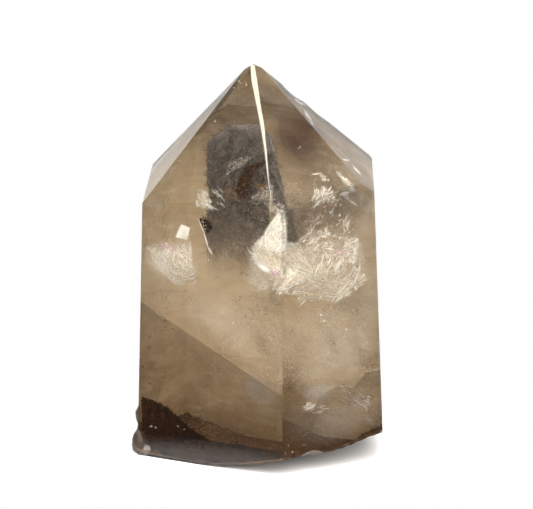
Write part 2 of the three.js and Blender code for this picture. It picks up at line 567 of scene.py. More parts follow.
print("a feather has", 2 * FEATHER_STEPS, "points")


# %% Sheets and ribbons
def grid_faces(rows, columns):
    """Quads over a grid of points that is stored row by row."""
    number = np.arange(rows * columns).reshape(rows, columns)
    quads = [number[:-1, :-1], number[:-1, 1:], number[1:, 1:], number[1:, :-1]]
    return np.stack(quads, -1).reshape(-1, 4)


def sheet(corners, through, depths, bow, cells=16):
    """A patch between four picture corners, each with its own depth: every point is their mix,
    by its shares of the way across and down. The middle is bowed by two half sine waves."""
    u, v = np.meshgrid(np.linspace(0, 1, cells + 1), np.linspace(0, 1, cells + 1))
    shares = np.stack([(1 - u) * (1 - v), u * (1 - v), u * v, (1 - u) * v], -1).reshape(-1, 4)
    spots = shares @ np.asarray(corners, float)
    depth = shares @ np.asarray(depths, float)
    depth = depth + bow * (np.sin(np.pi * u) * np.sin(np.pi * v)).ravel()
    points = settled(sunk(spots, depth, through))
    return points, grid_faces(cells + 1, cells + 1), np.column_stack([u.ravel(), v.ravel()])


def ribbon(through, depth, fade, top, bottom, steps=24):
    """A strip between two picture lines, mixed straight from one to the other. It is crisp at
    its top line, and thins out by fade toward its bottom one."""
    down = np.linspace(0, 1, steps + 1)[:, None, None]
    spots = (1 - down) * np.array(top, float) + down * np.array(bottom, float)
    v = np.broadcast_to(0.5 + 0.5 * fade * down[..., 0], spots.shape[:2]).ravel()
    points = settled(sunk(spots.reshape(-1, 2), depth, through))
    return points, grid_faces(steps + 1, len(top)), np.column_stack([np.full(len(v), 0.5), v])


print("a grid of 3 by 3 points has", len(grid_faces(3, 3)), "quads")

# %% [markdown]
# Finishes of the sealed things
#
# Seen closely no inclusion has one flat colour. An opaque one wanders between two
# tones over a couple of millimetres, as mineral dust does. A soft one also lets the
# stone through: it is thickest in its middle, thins out to its rim, and is ragged
# like smoke in between. Neither has any gloss of its own, because no air lies over
# it. The size of every pattern is given in millimetres.

# %% Finishes of inclusions
WANDER = 2.0
FILM_ROUGHNESS = 0.9
RAGGED_FROM = 0.35
RAGGED_TO = 0.62


def plain_inclusion(name, hex_code, roughness, deep=0.78):
    """An opaque inclusion whose colour wanders to a deeper tone."""
    material, tree, output = new_material(name)
    place = add_node(tree, "ShaderNodeTexCoord")
    pattern = {"Vector": place.outputs["Object"], "Scale": 1 / (WANDER * MM), "Detail": 2.0}
    noise = add_node(tree, "ShaderNodeTexNoise", {}, pattern)
    colour = linear(hex_code)
    shade = (*(deep * c for c in colour[:3]), 1.0)
    tones = {"Factor": noise.outputs["Fac"], "A": shade, "B": colour}
    mix = add_node(tree, "ShaderNodeMix", COLOUR_MIX, tones)
    matt = {"Base Color": mix.outputs["Result"], "Roughness": roughness, "Specular IOR Level": 0.0}
    surface = add_node(tree, "ShaderNodeBsdfPrincipled", {}, matt)
    tree.links.new(surface.outputs["BSDF"], output.inputs["Surface"])
    return material


def soft_inclusion(name, hex_code, thickest, grain, gaps, core):
    """A film that is soft at its rim and ragged inside. Thickest is its opacity in the middle,
    grain the size of its patches, gaps what is left of it between them, and core where,
    from its middle (0) to its rim (1), it starts to thin out."""
    material, tree, output = new_material(name)
    place = add_node(tree, "ShaderNodeTexCoord")
    twice = {0: place.outputs["UV"], 1: (2, 2, 0), 2: (-1, -1, 0)}
    centred = add_node(tree, "ShaderNodeVectorMath", {"operation": "MULTIPLY_ADD"}, twice)
    out = add_node(tree, "ShaderNodeVectorMath", {"operation": "LENGTH"}, {0: centred.outputs["Vector"]})
    thinning = {
        "Value": out.outputs["Value"], "From Min": 1.0, "From Max": core, "To Min": 0.0, "To Max": thickest,
    }
    rim = add_node(tree, "ShaderNodeMapRange", SMOOTH, thinning)
    pattern = {
        "Vector": place.outputs["Object"], "Scale": 1 / (grain * MM), "Detail": 5.0, "Distortion": 0.8,
    }
    noise = add_node(tree, "ShaderNodeTexNoise", {}, pattern)
    patches = {
        "Value": noise.outputs["Fac"], "From Min": RAGGED_FROM, "From Max": RAGGED_TO,
        "To Min": gaps, "To Max": 1.0,
    }
    ragged = add_node(tree, "ShaderNodeMapRange", SMOOTH, patches)
    both = {0: rim.outputs["Result"], 1: ragged.outputs["Result"]}
    alpha = add_node(tree, "ShaderNodeMath", {"operation": "MULTIPLY"}, both)
    film = {
        "Base Color": linear(hex_code),
        "Roughness": FILM_ROUGHNESS,
        "Specular IOR Level": 0.0,
        "Alpha": alpha.outputs["Value"],
    }
    surface = add_node(tree, "ShaderNodeBsdfPrincipled", {}, film)
    tree.links.new(surface.outputs["BSDF"], output.inputs["Surface"])
    return material


print("tones wander over", WANDER, "mm")

# %% [markdown]
# The growth plane and the dark root
#
# The photo shows a straight diagonal: above it the stone is milky, below it brown.
# That is one flat growth plane, seen exactly edge-on, so the two ends of the line
# and the bent line of sight between them fix the plane. Below it the quartz is
# smokier. A brown sheet along the line would do for one view. A body of darker
# quartz stays right from every side, so the root is the stone's own lower part, cut
# off at the plane and drawn in a little, with a second absorption of its own.

# %% Growth plane
DIAGONAL_LEFT = (141.7, 301.7)
DIAGONAL_RIGHT = (276.7, 393.0)

ends, bent_sight = sight([DIAGONAL_LEFT, DIAGONAL_RIGHT], FRONT_LEFT)
GROWTH_NORMAL = unit(np.cross(ends[1] - ends[0], bent_sight.mean(0)))
GROWTH_NORMAL *= np.sign(GROWTH_NORMAL[2])
GROWTH_DISTANCE = GROWTH_NORMAL @ ends[0]
print("growth plane", GROWTH_NORMAL.round(3), round(GROWTH_DISTANCE, 2))

# %% Root
ROOT_SHRINK = 0.985
ROOT_TINT = (0.66, 0.62, 0.58, 1.0)
ROOT_DENSITY = 17.0
CUT_TOLERANCE = 1e-6


def body_below(normal, distance):
    """The stone below a plane, as closed arrays of points and triangles in millimetres."""
    shape = bmesh.new()
    shape.from_mesh(body.data)
    bmesh.ops.bisect_plane(
        shape,
        geom=[*shape.verts, *shape.edges, *shape.faces],
        dist=CUT_TOLERANCE,
        plane_co=tuple(normal * distance * MM),
        plane_no=tuple(normal),
        clear_outer=True,
    )
    rim = [edge for edge in shape.edges if edge.is_boundary]
    bmesh.ops.holes_fill(shape, edges=rim, sides=0)
    bmesh.ops.triangulate(shape, faces=shape.faces)
    shape.verts.index_update()
    points = np.array([vert.co[:] for vert in shape.verts]) / MM
    faces = np.array([[vert.index for vert in face.verts] for face in shape.faces])
    shape.free()
    return points, faces


def root_material():
    """Clear at its surface, because it is quartz in quartz, but smokier within."""
    material, tree, output = new_material("smokier_root_quartz")
    unseen = {"Base Color": CLEAR, "Roughness": 0.0, "IOR": 1.0, "Transmission Weight": 1.0}
    surface = add_node(tree, "ShaderNodeBsdfPrincipled", {}, unseen)
    colour = {"Color": ROOT_TINT, "Density": ROOT_DENSITY}
    smoke = add_node(tree, "ShaderNodeVolumeAbsorption", {}, colour)
    tree.links.new(surface.outputs["BSDF"], output.inputs["Surface"])
    tree.links.new(smoke.outputs["Volume"], output.inputs["Volume"])
    return material


root_points, root_faces = body_below(GROWTH_NORMAL, GROWTH_DISTANCE)
root_middle = root_points.mean(axis=0)
root_points = root_middle + ROOT_SHRINK * (root_points - root_middle)
new_piece("smoky_root", (root_points, root_faces), root_material())

# %% [markdown]
# The stained base
#
# The fracture at the foot is brown with iron and soil that crept into its first
# cracks. Seen through the front it makes the whole rim dark. Colour on the fracture
# itself would take the clear quartz skin away, so the stain is a film just inside
# the base, made of the base's own faces moved in by half a millimetre.

# %% Base stain
STAIN_DEPTH = 0.5
STAIN_HEIGHT = 15.0
LOOKS_DOWN = -0.3


def base_film():
    """The faces of the broken base, moved inward along their points' normals."""
    mesh = body.data
    mesh.calc_loop_triangles()
    points = read_array(mesh.vertices, "co", 3) / MM
    triangles = read_array(mesh.loop_triangles, "vertices", 3, np.int32)
    a, b, c = (points[triangles[:, i]] for i in range(3))
    cross = np.cross(b - a, c - a)
    normals = np.zeros_like(points)
    for corner in range(3):
        np.add.at(normals, triangles[:, corner], cross)
    down = (unit(cross)[:, 2] < LOOKS_DOWN) & (a[:, 2] < STAIN_HEIGHT)
    moved = points - STAIN_DEPTH * unit(normals)
    used, numbers = np.unique(triangles[down], return_inverse=True)
    return moved[used], numbers.reshape(-1, 3)


# Matt and blotchy brown, so the foot looks dirty from inside.
STAIN = plain_inclusion("iron_and_soil_stain", "#765b42", roughness=0.9, deep=0.5)
new_piece("base_stain", base_film(), STAIN)

# %% [markdown]
# Haze
#
# Milky quartz is clear quartz full of tiny pockets of fluid. They are thick above
# the growth plane and toward the back, and thin in the tip. An even haze would be
# simpler, but it would hide the growth plane. So each way of thinning is an S-curve
# between two places in millimetres, and the haze is their weighted sum.

# %% Haze
HAZE_TRIES = 260000
HAZE_OVER_PLANE = (0.0, 3.0)
HAZE_BACK = (-4.0, 8.0)
HAZE_BAND_HEIGHT = (50.0, 30.0)
HAZE_TIP_HEIGHT = (66.0, 84.0)
HAZE_EVERYWHERE = 0.05
HAZE_IN_BACK = 0.6
HAZE_IN_BAND = 0.35
HAZE_LOST_IN_TIP = 0.4
HAZE_LEAST = 0.03
HAZE_MARGIN = 0.9
HAZE_SIZES = (0.07, 0.16)


def haze_density(points):
    """The share of tries that is kept: high behind and above the growth plane, low in the tip."""
    height_over_plane = points @ GROWTH_NORMAL - GROWTH_DISTANCE
    back = smooth_step(*HAZE_BACK, points[:, 1])
    band = smooth_step(*HAZE_OVER_PLANE, height_over_plane) * smooth_step(*HAZE_BAND_HEIGHT, points[:, 2])
    tip = smooth_step(*HAZE_TIP_HEIGHT, points[:, 2])
    density = HAZE_EVERYWHERE + HAZE_IN_BACK * back + HAZE_IN_BAND * band - HAZE_LOST_IN_TIP * tip
    return np.clip(density, HAZE_LEAST, 1)


# Matt and pale, like breath on glass.
HAZE = plain_inclusion("milky_fluid_haze", "#c8c0b2", roughness=0.8)
tries = rng.uniform(cad_low / MM, cad_high / MM, (HAZE_TRIES, 3))
keep = rng.uniform(size=HAZE_TRIES) < haze_density(tries)
fleck_piece("milky_haze", tries[keep & inside(tries, HAZE_MARGIN)], HAZE_SIZES, HAZE)

# %% [markdown]
# The back veil
#
# One veil stands near the hidden facets, and follows them round from the left to
# the right. It is a guess about the back, but something milky must be there,
# because the photo doesn't show the bright backdrop through the stone. A flat card
# would be seen edge-on from the side. So it is a curtain that starts as a wide arc
# and is drawn in to the facets. Its colours run up the stone, and paler and darker
# wisps drift over them.

# %% Shape of the back veil
VEIL_TURN = (90.0, 256.0)
VEIL_AXIS = np.array([[0.0, 4.0]])
VEIL_ARC = 40.0
VEIL_FOOT_REACH = 21.0
VEIL_TOP = 91.5
VEIL_MARGIN = 1.9
VEIL_POINTS = 81
VEIL_SPREAD = 0.72
VEIL_OPEN_TOP = (0.45, 1.0)
# Each wave's height in millimetres, its swing per turn and per rise, and its start.
VEIL_WAVES = [(0.7, 6, 4, 0), (0.5, -5, 9, 1)]


def back_veil():
    """A curtain with a direction on an arc and a rise from the base to the tip. Each point
    starts on a wide arc, is drawn in to the facets, and is then moved in by two slow waves.
    The uv fades the curtain at its two sides and at its top."""
    turn = np.radians(np.linspace(*VEIL_TURN, VEIL_POINTS))
    turn, rise = np.meshgrid(turn, np.linspace(0, 1, VEIL_POINTS))
    turn, rise = turn.ravel(), rise.ravel()
    out = np.column_stack([np.sin(turn), -np.cos(turn)])
    base = BASE_HEIGHTS[map_cells(VEIL_AXIS + VEIL_FOOT_REACH * out)]
    height = base + (VEIL_TOP - base) * rise
    points = drawn_inside(np.column_stack([VEIL_AXIS + VEIL_ARC * out, height]), VEIL_MARGIN)
    wave = sum(high * np.sin(a * turn + b * rise + start) for high, a, b, start in VEIL_WAVES)
    points[:, :2] -= wave[:, None] * out
    across = (turn - turn.min()) / np.ptp(turn)
    uv = 0.5 + VEIL_SPREAD * (np.column_stack([across, rise]) - 0.5)
    uv[:, 1] += (1 - VEIL_SPREAD) / 2 * smooth_step(*VEIL_OPEN_TOP, rise)
    return settled(points), grid_faces(VEIL_POINTS, VEIL_POINTS), uv


# %% Milk of the back veil
VEIL_COLOURS = [
    (0.02, "#a6937b"), (0.2, "#c5b7a4"), (0.42, "#d8cdbe"), (0.7, "#c2b29b"), (0.92, "#9b8165"),
]
VEIL_MILK = "#dcd2c0"
VEIL_GRAIN = 11.1
VEIL_DRIFT = 0.5
DRIFT_SIZE = 16.7
# Each wisp's colour, the noise value where it is strongest, and how strong it gets.
WISPS = [("#e6dfd3", 0.72, 0.6), ("#806d58", 0.28, 0.4)]
WISP_START = 0.5
WISP_SIZE = 10.5
WISP_TURN = (0.0, 0.5, 0.3)
WISP_STRETCH = (1.0, 1.0, 2.6)


def colour_up_the_stone(tree, place):
    """A ramp over the height, whose levels drift up and down with a broad noise."""
    height = add_node(tree, "ShaderNodeSeparateXYZ", {}, {"Vector": place})
    pattern = {"Vector": place, "Scale": 1 / (DRIFT_SIZE * MM), "Detail": 5.0, "Distortion": 1.5}
    drift = add_node(tree, "ShaderNodeTexNoise", {}, pattern)
    either_way = {0: drift.outputs["Fac"], 1: VEIL_DRIFT, 2: -VEIL_DRIFT / 2}
    shift = add_node(tree, "ShaderNodeMath", {"operation": "MULTIPLY_ADD"}, either_way)
    share = {0: height.outputs["Z"], 1: 1 / cad_high[2], 2: shift.outputs["Value"]}
    level = add_node(tree, "ShaderNodeMath", {"operation": "MULTIPLY_ADD"}, share)
    ramp = add_node(tree, "ShaderNodeValToRGB", {}, {"Fac": level.outputs["Value"]})
    stops = ramp.color_ramp.elements
    (stops[0].position, lowest), (stops[1].position, highest) = VEIL_COLOURS[0], VEIL_COLOURS[-1]
    stops[0].color, stops[1].color = linear(lowest), linear(highest)
    for position, colour in VEIL_COLOURS[1:-1]:
        stops.new(position).color = linear(colour)
    return ramp.outputs["Color"]


def veil_material():
    """Milk that is brown at the foot, pale in the middle and tan in the tip, with wisps."""
    material = soft_inclusion("milky_veil", VEIL_MILK, thickest=0.99, grain=VEIL_GRAIN, gaps=0.95, core=0.72)
    tree = material.node_tree
    place = add_node(tree, "ShaderNodeTexCoord").outputs["Object"]
    stretch = {"Vector": place, "Rotation": WISP_TURN, "Scale": WISP_STRETCH}
    turned = add_node(tree, "ShaderNodeMapping", {}, stretch)
    pattern = {
        "Vector": turned.outputs["Vector"], "Scale": 1 / (WISP_SIZE * MM),
        "Detail": 7.0, "Roughness": 0.62, "Distortion": 1.1,
    }
    wisps = add_node(tree, "ShaderNodeTexNoise", {}, pattern)
    colour = colour_up_the_stone(tree, place)
    for wisp, end, most in WISPS:
        share = {
            "Value": wisps.outputs["Fac"], "From Min": WISP_START, "From Max": end,
            "To Min": 0.0, "To Max": most,
        }
        some = add_node(tree, "ShaderNodeMapRange", SMOOTH, share)
        tones = {"Factor": some.outputs["Result"], "A": colour, "B": linear(wisp)}
        colour = add_node(tree, "ShaderNodeMix", COLOUR_MIX, tones).outputs["Result"]
    surface = next(node for node in tree.nodes if node.type == "BSDF_PRINCIPLED")
    tree.links.new(colour, surface.inputs["Base Color"])
    return material


new_piece("milky_back_veil", back_veil(), veil_material())

# %% [markdown]
# The ghost crystal
#
# For a while the crystal stopped growing, dust settled on its faces, and then
# clear quartz closed over it. The ghost keeps the shape of the young crystal:
# flat faces and a blunt top. It could be a solid of darker quartz, but the real one
# is only a skin of dust with clear stone on both sides. So it is one outline, drawn
# at several depths and joined, with a grey film on it and flecks of dust over the
# film. Downward the dust thins out and the ghost fades.

# %% Form of the ghost
# The outline is in millimetres: along the ghost's own flat front, and up.
GHOST_CORNER = np.array([-10.7, 0.0, 0.0])
GHOST_ACROSS = np.array([0.781, -0.625, 0.0])
GHOST_OUTLINE = np.array(
    [
        (3.2, 42.0), (2.8, 51.0), (3.1, 59.0), (1.8, 61.5), (0.0, 71.9), (1.4, 74.1), (6.1, 78.2),
        (14.4, 79.2), (17.6, 76.8), (18.3, 74.0), (18.7, 69.8), (19.6, 65.6), (20.6, 61.2), (20.8, 56.0),
        (22.6, 52.0), (23.6, 42.0),
    ]
)
GHOST_MIDDLE = np.array([[12.0, 60.0]])
# Each ring's depth in millimetres and its share of the outline's size.
GHOST_RINGS = [(-0.2, 0.96), (0.0, 1.0), (4.0, 0.93), (7.0, 0.7)]


def in_ghost(flat, depth):
    """Points of the ghost's flat front, pushed back by a depth."""
    across, up = flat.T
    return GHOST_CORNER + np.outer(across, GHOST_ACROSS) + np.outer(up, [0, 0, 1]) + [0, depth, 0]


def ghost_form():
    """The outline at each ring's depth and scale, with triangles between and a cap at both ends."""
    count = len(GHOST_OUTLINE)
    from_middle = GHOST_OUTLINE - GHOST_MIDDLE
    rings = [in_ghost(GHOST_MIDDLE + scale * from_middle, depth) for depth, scale in GHOST_RINGS]
    caps = [in_ghost(GHOST_MIDDLE, GHOST_RINGS[0][0]), in_ghost(GHOST_MIDDLE, GHOST_RINGS[-1][0])]
    points = np.concatenate(rings + caps)
    here = np.arange(count)
    after = (here + 1) % count
    faces = []
    for ring in range(len(GHOST_RINGS) - 1):
        a, b = ring * count, (ring + 1) * count
        faces += [np.column_stack([a + here, a + after, b + after])]
        faces += [np.column_stack([a + here, b + after, b + here])]
    last = (len(GHOST_RINGS) - 1) * count
    front_cap, back_cap = len(points) - 2, len(points) - 1
    faces += [np.column_stack([after, here, np.full(count, front_cap)])]
    faces += [np.column_stack([last + here, last + after, np.full(count, back_cap)])]
    return points, np.concatenate(faces)


ghost_points, ghost_faces = ghost_form()
ghost_caps = ghost_faces[-2 * len(GHOST_OUTLINE) :]
print("the ghost reaches up to", ghost_points[:, 2].max().round(1), "mm")

# %% Film of the ghost
GHOST_FILM_FADE = (42.0, 59.0)
GHOST_FILM_MOST = 0.8
GHOST_FILM_COLOUR = "#857b72"
GHOST_FILM_GRAIN = 2.38
GHOST_FILM_RAGGED = (0.36, 0.6)
GHOST_FILM_GAPS = 0.45


def ghost_film_material():
    """A grey film, ragged in patches, that fades out toward the ghost's foot."""
    material, tree, output = new_material("grey_ghost_film")
    place = add_node(tree, "ShaderNodeTexCoord").outputs["Object"]
    height = add_node(tree, "ShaderNodeSeparateXYZ", {}, {"Vector": place})
    gone, full = GHOST_FILM_FADE
    thinning = {
        "Value": height.outputs["Z"], "From Min": gone * MM, "From Max": full * MM,
        "To Min": 0.0, "To Max": GHOST_FILM_MOST,
    }
    fade = add_node(tree, "ShaderNodeMapRange", SMOOTH, thinning)
    pattern = {"Vector": place, "Scale": 1 / (GHOST_FILM_GRAIN * MM), "Detail": 8.0, "Roughness": 0.7}
    noise = add_node(tree, "ShaderNodeTexNoise", {}, pattern)
    thin, thick = GHOST_FILM_RAGGED
    patches = {
        "Value": noise.outputs["Fac"], "From Min": thin, "From Max": thick,
        "To Min": GHOST_FILM_GAPS, "To Max": 1.0,
    }
    ragged = add_node(tree, "ShaderNodeMapRange", SMOOTH, patches)
    both = {0: fade.outputs["Result"], 1: ragged.outputs["Result"]}
    alpha = add_node(tree, "ShaderNodeMath", {"operation": "MULTIPLY"}, both)
    film = {
        "Base Color": linear(GHOST_FILM_COLOUR),
        "Roughness": FILM_ROUGHNESS,
        "Specular IOR Level": 0.0,
        "Alpha": alpha.outputs["Value"],
    }
    surface = add_node(tree, "ShaderNodeBsdfPrincipled", {}, film)
    tree.links.new(surface.outputs["BSDF"], output.inputs["Surface"])
    return material


new_piece("ghost_film", (ghost_points, ghost_faces), ghost_film_material())

# %% Dust of the ghost
CAP_DUST = 24000
DUST_ALL_OVER = 5000
DUST_STRAY = 0.45
GHOST_FADE = (46.0, 61.0)
FADED_SHARE = 0.01
GHOST_MARGIN = 0.8
GHOST_DUST_SIZES = (0.12, 0.3)


def scattered(points, faces, count):
    """Points spread evenly over triangles: each is a random mix of the three corners."""
    a, b, c = points[faces[:, 0]], points[faces[:, 1]], points[faces[:, 2]]
    areas = np.linalg.norm(np.cross(b - a, c - a), axis=1)
    pick = rng.choice(len(faces), count, p=areas / areas.sum())
    u, v = rng.uniform(size=(2, count, 1))
    over = (u + v) > 1
    u, v = np.where(over, 1 - u, u), np.where(over, 1 - v, v)
    return a[pick] + u * (b - a)[pick] + v * (c - a)[pick]


# Matt, dark and uneven, like soot that settled on a shelf.
GHOST_DUST = plain_inclusion("grey_ghost_dust", "#5b524b", roughness=0.9, deep=0.4)
on_caps = scattered(ghost_points, ghost_caps, CAP_DUST)
all_over = scattered(ghost_points, ghost_faces, DUST_ALL_OVER)
dust = np.concatenate([on_caps, all_over])
dust += rng.normal(scale=DUST_STRAY, size=dust.shape)
share = FADED_SHARE + (1 - FADED_SHARE) * smooth_step(*GHOST_FADE, dust[:, 2])
dust = dust[rng.uniform(size=len(dust)) < share]
fleck_piece("ghost_dust", dust[inside(dust, GHOST_MARGIN)], GHOST_DUST_SIZES, GHOST_DUST)

# %% [markdown]
# The ground ridge
#
# Grinding left a narrow flat down the front ridge that wavers and tapers away.
# It is cream-white partly from its frost and partly from a painted reflection of the
# light overhead. A rough patch in the quartz would still let the dark inside show
# through, so both are one thin matt film right under that flat. The picture gives
# its left and right edge at each of a few rows.

# %% Ridge frost
FROST_DEPTH = 0.05
# Row, left edge and right edge, in pixels.
RIDGE_ROWS = [
    (65, 250.5, 254.5), (80, 251.5, 257), (90, 253.5, 258.5), (98, 255, 259.6), (110, 257.5, 261.5),
    (125, 260.5, 264), (150, 264.6, 266.6), (182, 268.2, 268.8), (202, 271.9, 272.2),
]


def frosted_ridge_painted_reflection():
    """A ribbon between the left and the right edge."""
    row, left, right = np.array(RIDGE_ROWS, float).T
    spots = np.stack([np.column_stack([left, row]), np.column_stack([right, row])], 1)
    return sunk(spots.reshape(-1, 2), FROST_DEPTH, FACETS["front ridge"]), grid_faces(len(row), 2)


# Matt and cream-white: partly coarse grit that scatters all light, partly a painted
# reflection of the light overhead.
FROST_AND_PAINTED_REFLECTION = plain_inclusion("ground_ridge_painted_reflection", "#cfc5b3", roughness=0.6, deep=0.8)
new_piece("frosted_ridge_painted_reflection", frosted_ridge_painted_reflection(), FROST_AND_PAINTED_REFLECTION)

# %% [markdown]
# Chips beside the tip
#
# The two small chips on the right of the tip look white for the same reason as the
# ridge: a rough surface scatters light. Each is a soft film right under its facet.

# %% Chip frost
CHIP_DEPTH = 0.25
CHIP_CELLS = 8
CHIP_PATCHES = [
    [(290, 95.5), (301, 100.5), (311, 108.5), (297, 104)],
    [(300, 106), (304.5, 106.5), (317, 128), (313, 128.5)],
]
# Whitish and finely ragged, like scratched glass.
FROSTED_CHIP = soft_inclusion("frosted_chip", "#cbc7bf", thickest=0.75, grain=1.43, gaps=0.35, core=0.5)
for number, corners in enumerate(CHIP_PATCHES):
    chip = sheet(corners, TOP_RIGHT, 4 * (CHIP_DEPTH,), 0.0, CHIP_CELLS)
    new_piece(f"chip_frost_{number}", chip, FROSTED_CHIP)

# %% [markdown]
# Healed cracks
#
# The silvery swirls are cracks that healed while the crystal grew. Their walls
# kept thin films of gas, and those flash white; that flash is a painted reflection,
# matt white on the sharp feathers. One rumpled sheet could stand for them, but many
# small feathers catch the light at many angles, as a torn film does.
# Each swirl is many bundles: an outline in the picture says where a bundle lies,
# and an angle with some stray says how it is combed. Every spot gets a wide soft
# feather, and most also get a thin sharp one just before it, so the swirl glows and
# sparkles at once.

# %% Finishes of healed cracks
# A thin film of gas is nearly a mirror. Its reflection is painted: a sharp feather
# is matt warm white with no gloss, in place of the mirror.
PAINTED_GLINT_WHITE = plain_inclusion("healed_crack_painted_glint", "#fffaf0", roughness=0.35, deep=0.9)
# A film that only half healed lets much of the stone through.
GLOW = soft_inclusion("soft_healed_crack", "#fff8ea", thickest=0.62, grain=1.11, gaps=0.1, core=0.05)
# Painted highlight: where a crack lies square to the light it flashes almost solid
# white, and that flash is a near-white film.
PAINTED_CRACK_FLASH = soft_inclusion("painted_crack_flash", "#fffcf4", thickest=0.92, grain=2.0, gaps=0.6, core=0.6)
# Fluid that was caught in the crack is cream, and less bright than gas.
PALE = plain_inclusion("milky_fluid", "#e6dccb", roughness=0.6, deep=0.85)
print("made", *(finish.name for finish in (PAINTED_GLINT_WHITE, GLOW, PAINTED_CRACK_FLASH, PALE)))

# %% Soft and sharp feathers
SOFT_WIDER = 4.6
SOFT_LONGER = 1.25
SOFT_DEEPER = 0.6
SHARP_NARROWER = 0.27
SHARP_SHARE = 0.85
MOSTLY_SHORT = 1.7


def both_kinds(spots, angles, length, width, bends, depths, through):
    """Every spot gets a wide soft feather, and most also a thin sharp one just before it.
    A length starts at half the shortest one given, and most are short, because the share
    of the way up to the longest is a random number to a power above one."""
    count = len(spots)
    shortest = 0.5 * length[0]
    lengths = shortest + (length[1] - shortest) * rng.uniform(size=count) ** MOSTLY_SHORT
    widths = rng.uniform(*width, count)
    depth = rng.uniform(*depths, count)
    bend = bends * lengths**2
    longer, wider, deeper = SOFT_LONGER * lengths, SOFT_WIDER * widths, depth + SOFT_DEEPER
    soft = feathers(spots, angles, longer, wider, bend, deeper, through)
    some = rng.uniform(size=count) < SHARP_SHARE
    narrower = SHARP_NARROWER * widths[some]
    sharp = feathers(spots[some], angles[some], lengths[some], narrower, bend[some], depth[some], through)
    return soft, sharp


print("soft feathers are", SOFT_WIDER, "times as wide as given, and sharp ones", SHARP_NARROWER)


# %% Bundles of feathers
COMBED_BEND = 0.006
TRIES_PER_FEATHER = 8


def combed(through, comb, count, length, width, depths, outline):
    """A bundle inside a picture outline, combed along an angle with some stray."""
    angle, stray = comb
    spots = spots_within(outline, TRIES_PER_FEATHER * count)[:count]
    angles = angle + stray * rng.normal(size=len(spots))
    bends = COMBED_BEND * rng.normal(size=len(spots))
    return both_kinds(spots, angles, length, width, bends, depths, through)


def ringed(through, stray, count, length, width, depths, ring):
    """A bundle that runs round a picture centre, between two radii and two angles, squashed.
    Each feather bows as its circle does: by its length squared over eight radii."""
    centre, radii, arc, squash = ring
    place = np.radians(rng.uniform(*arc, count))
    radius = rng.uniform(*radii, count)
    round_centre = np.column_stack([np.cos(place), -squash * np.sin(place)])
    spots = np.asarray(centre, float) + radius[:, None] * round_centre
    angles = np.degrees(place) + 90 + rng.normal(scale=stray, size=count)
    return both_kinds(spots, angles, length, width, -1 / (8 * radius), depths, through)


def swirl(side, bundles):
    """All bundles of one side, as one glowing piece and one sharp one."""
    soft, sharp = zip(*[make(*row) for make, *row in bundles])
    new_piece(f"swirl_{side}_glow", joined(soft), GLOW)
    # The sharp feathers carry the painted glint white.
    new_piece(f"swirl_{side}_feathers", joined(sharp), PAINTED_GLINT_WHITE)


print("an outline is tried", TRIES_PER_FEATHER, "times for each feather in it")

# %% [markdown]
# The two swirls
#
# Each row below is one bundle: how it is laid, the facet it shows through, its
# angle and stray in degrees, how many feathers it has, their lengths and widths in
# pixels, how deep they lie in millimetres, and last its outline in the picture. A
# ringed bundle has only a stray, and then its centre, its radii, its arc in degrees
# and its squash.

# %% Left swirl
LEFT_BUNDLES = [
    (combed, FRONT_LEFT, (62, 10), 170, (8, 18), (1.2, 3.0), (0.4, 1.3),
     [(279, 217), (279, 251), (268, 247), (258, 244), (267, 237), (273, 228), (278, 218)]),
    (combed, FRONT_LEFT, (-36, 9), 80, (10, 24), (0.8, 2.6), (0.6, 2.5),
     [(250, 254), (259, 246), (281, 253), (281, 274), (272, 273), (262, 266)]),
    (combed, FRONT_LEFT, (28, 24), 34, (8, 18), (0.6, 1.8), (3.0, 6.0),
     [(252, 277), (281, 272), (281, 292), (262, 290)]),
    (combed, FRONT_LEFT, (-50, 40), 16, (4, 10), (0.5, 1.2), (2.0, 4.0),
     [(269, 204), (273, 203), (281, 212), (278, 219), (271, 216)]),
    (ringed, FRONT_LEFT, 15, 110, (9, 24), (0.5, 1.9), (2.0, 6.0),
     [(184, 261), (7, 22), (150, 300), 1.1]),
    (combed, FRONT_LEFT, (78, 30), 50, (6, 16), (0.5, 1.7), (2.0, 6.0),
     [(178, 243), (190, 242), (193, 262), (189, 277), (176, 276)]),
    (combed, FRONT_LEFT, (-40, 12), 34, (8, 20), (0.4, 1.2), (3.0, 7.0),
     [(147, 248), (160, 246), (176, 262), (170, 274), (158, 268)]),
    (combed, TOP_FRONT_LEFT, (-42, 12), 30, (6, 16), (0.4, 1.3), (2.0, 4.0),
     [(197, 204), (199, 190), (203, 189), (213, 203)]),
    (combed, TOP_FRONT_LEFT, (-48, 12), 14, (5, 12), (0.4, 1.2), (3.0, 5.0),
     [(213, 188), (220, 187), (223, 199), (216, 196)]),
]
swirl("left", LEFT_BUNDLES)

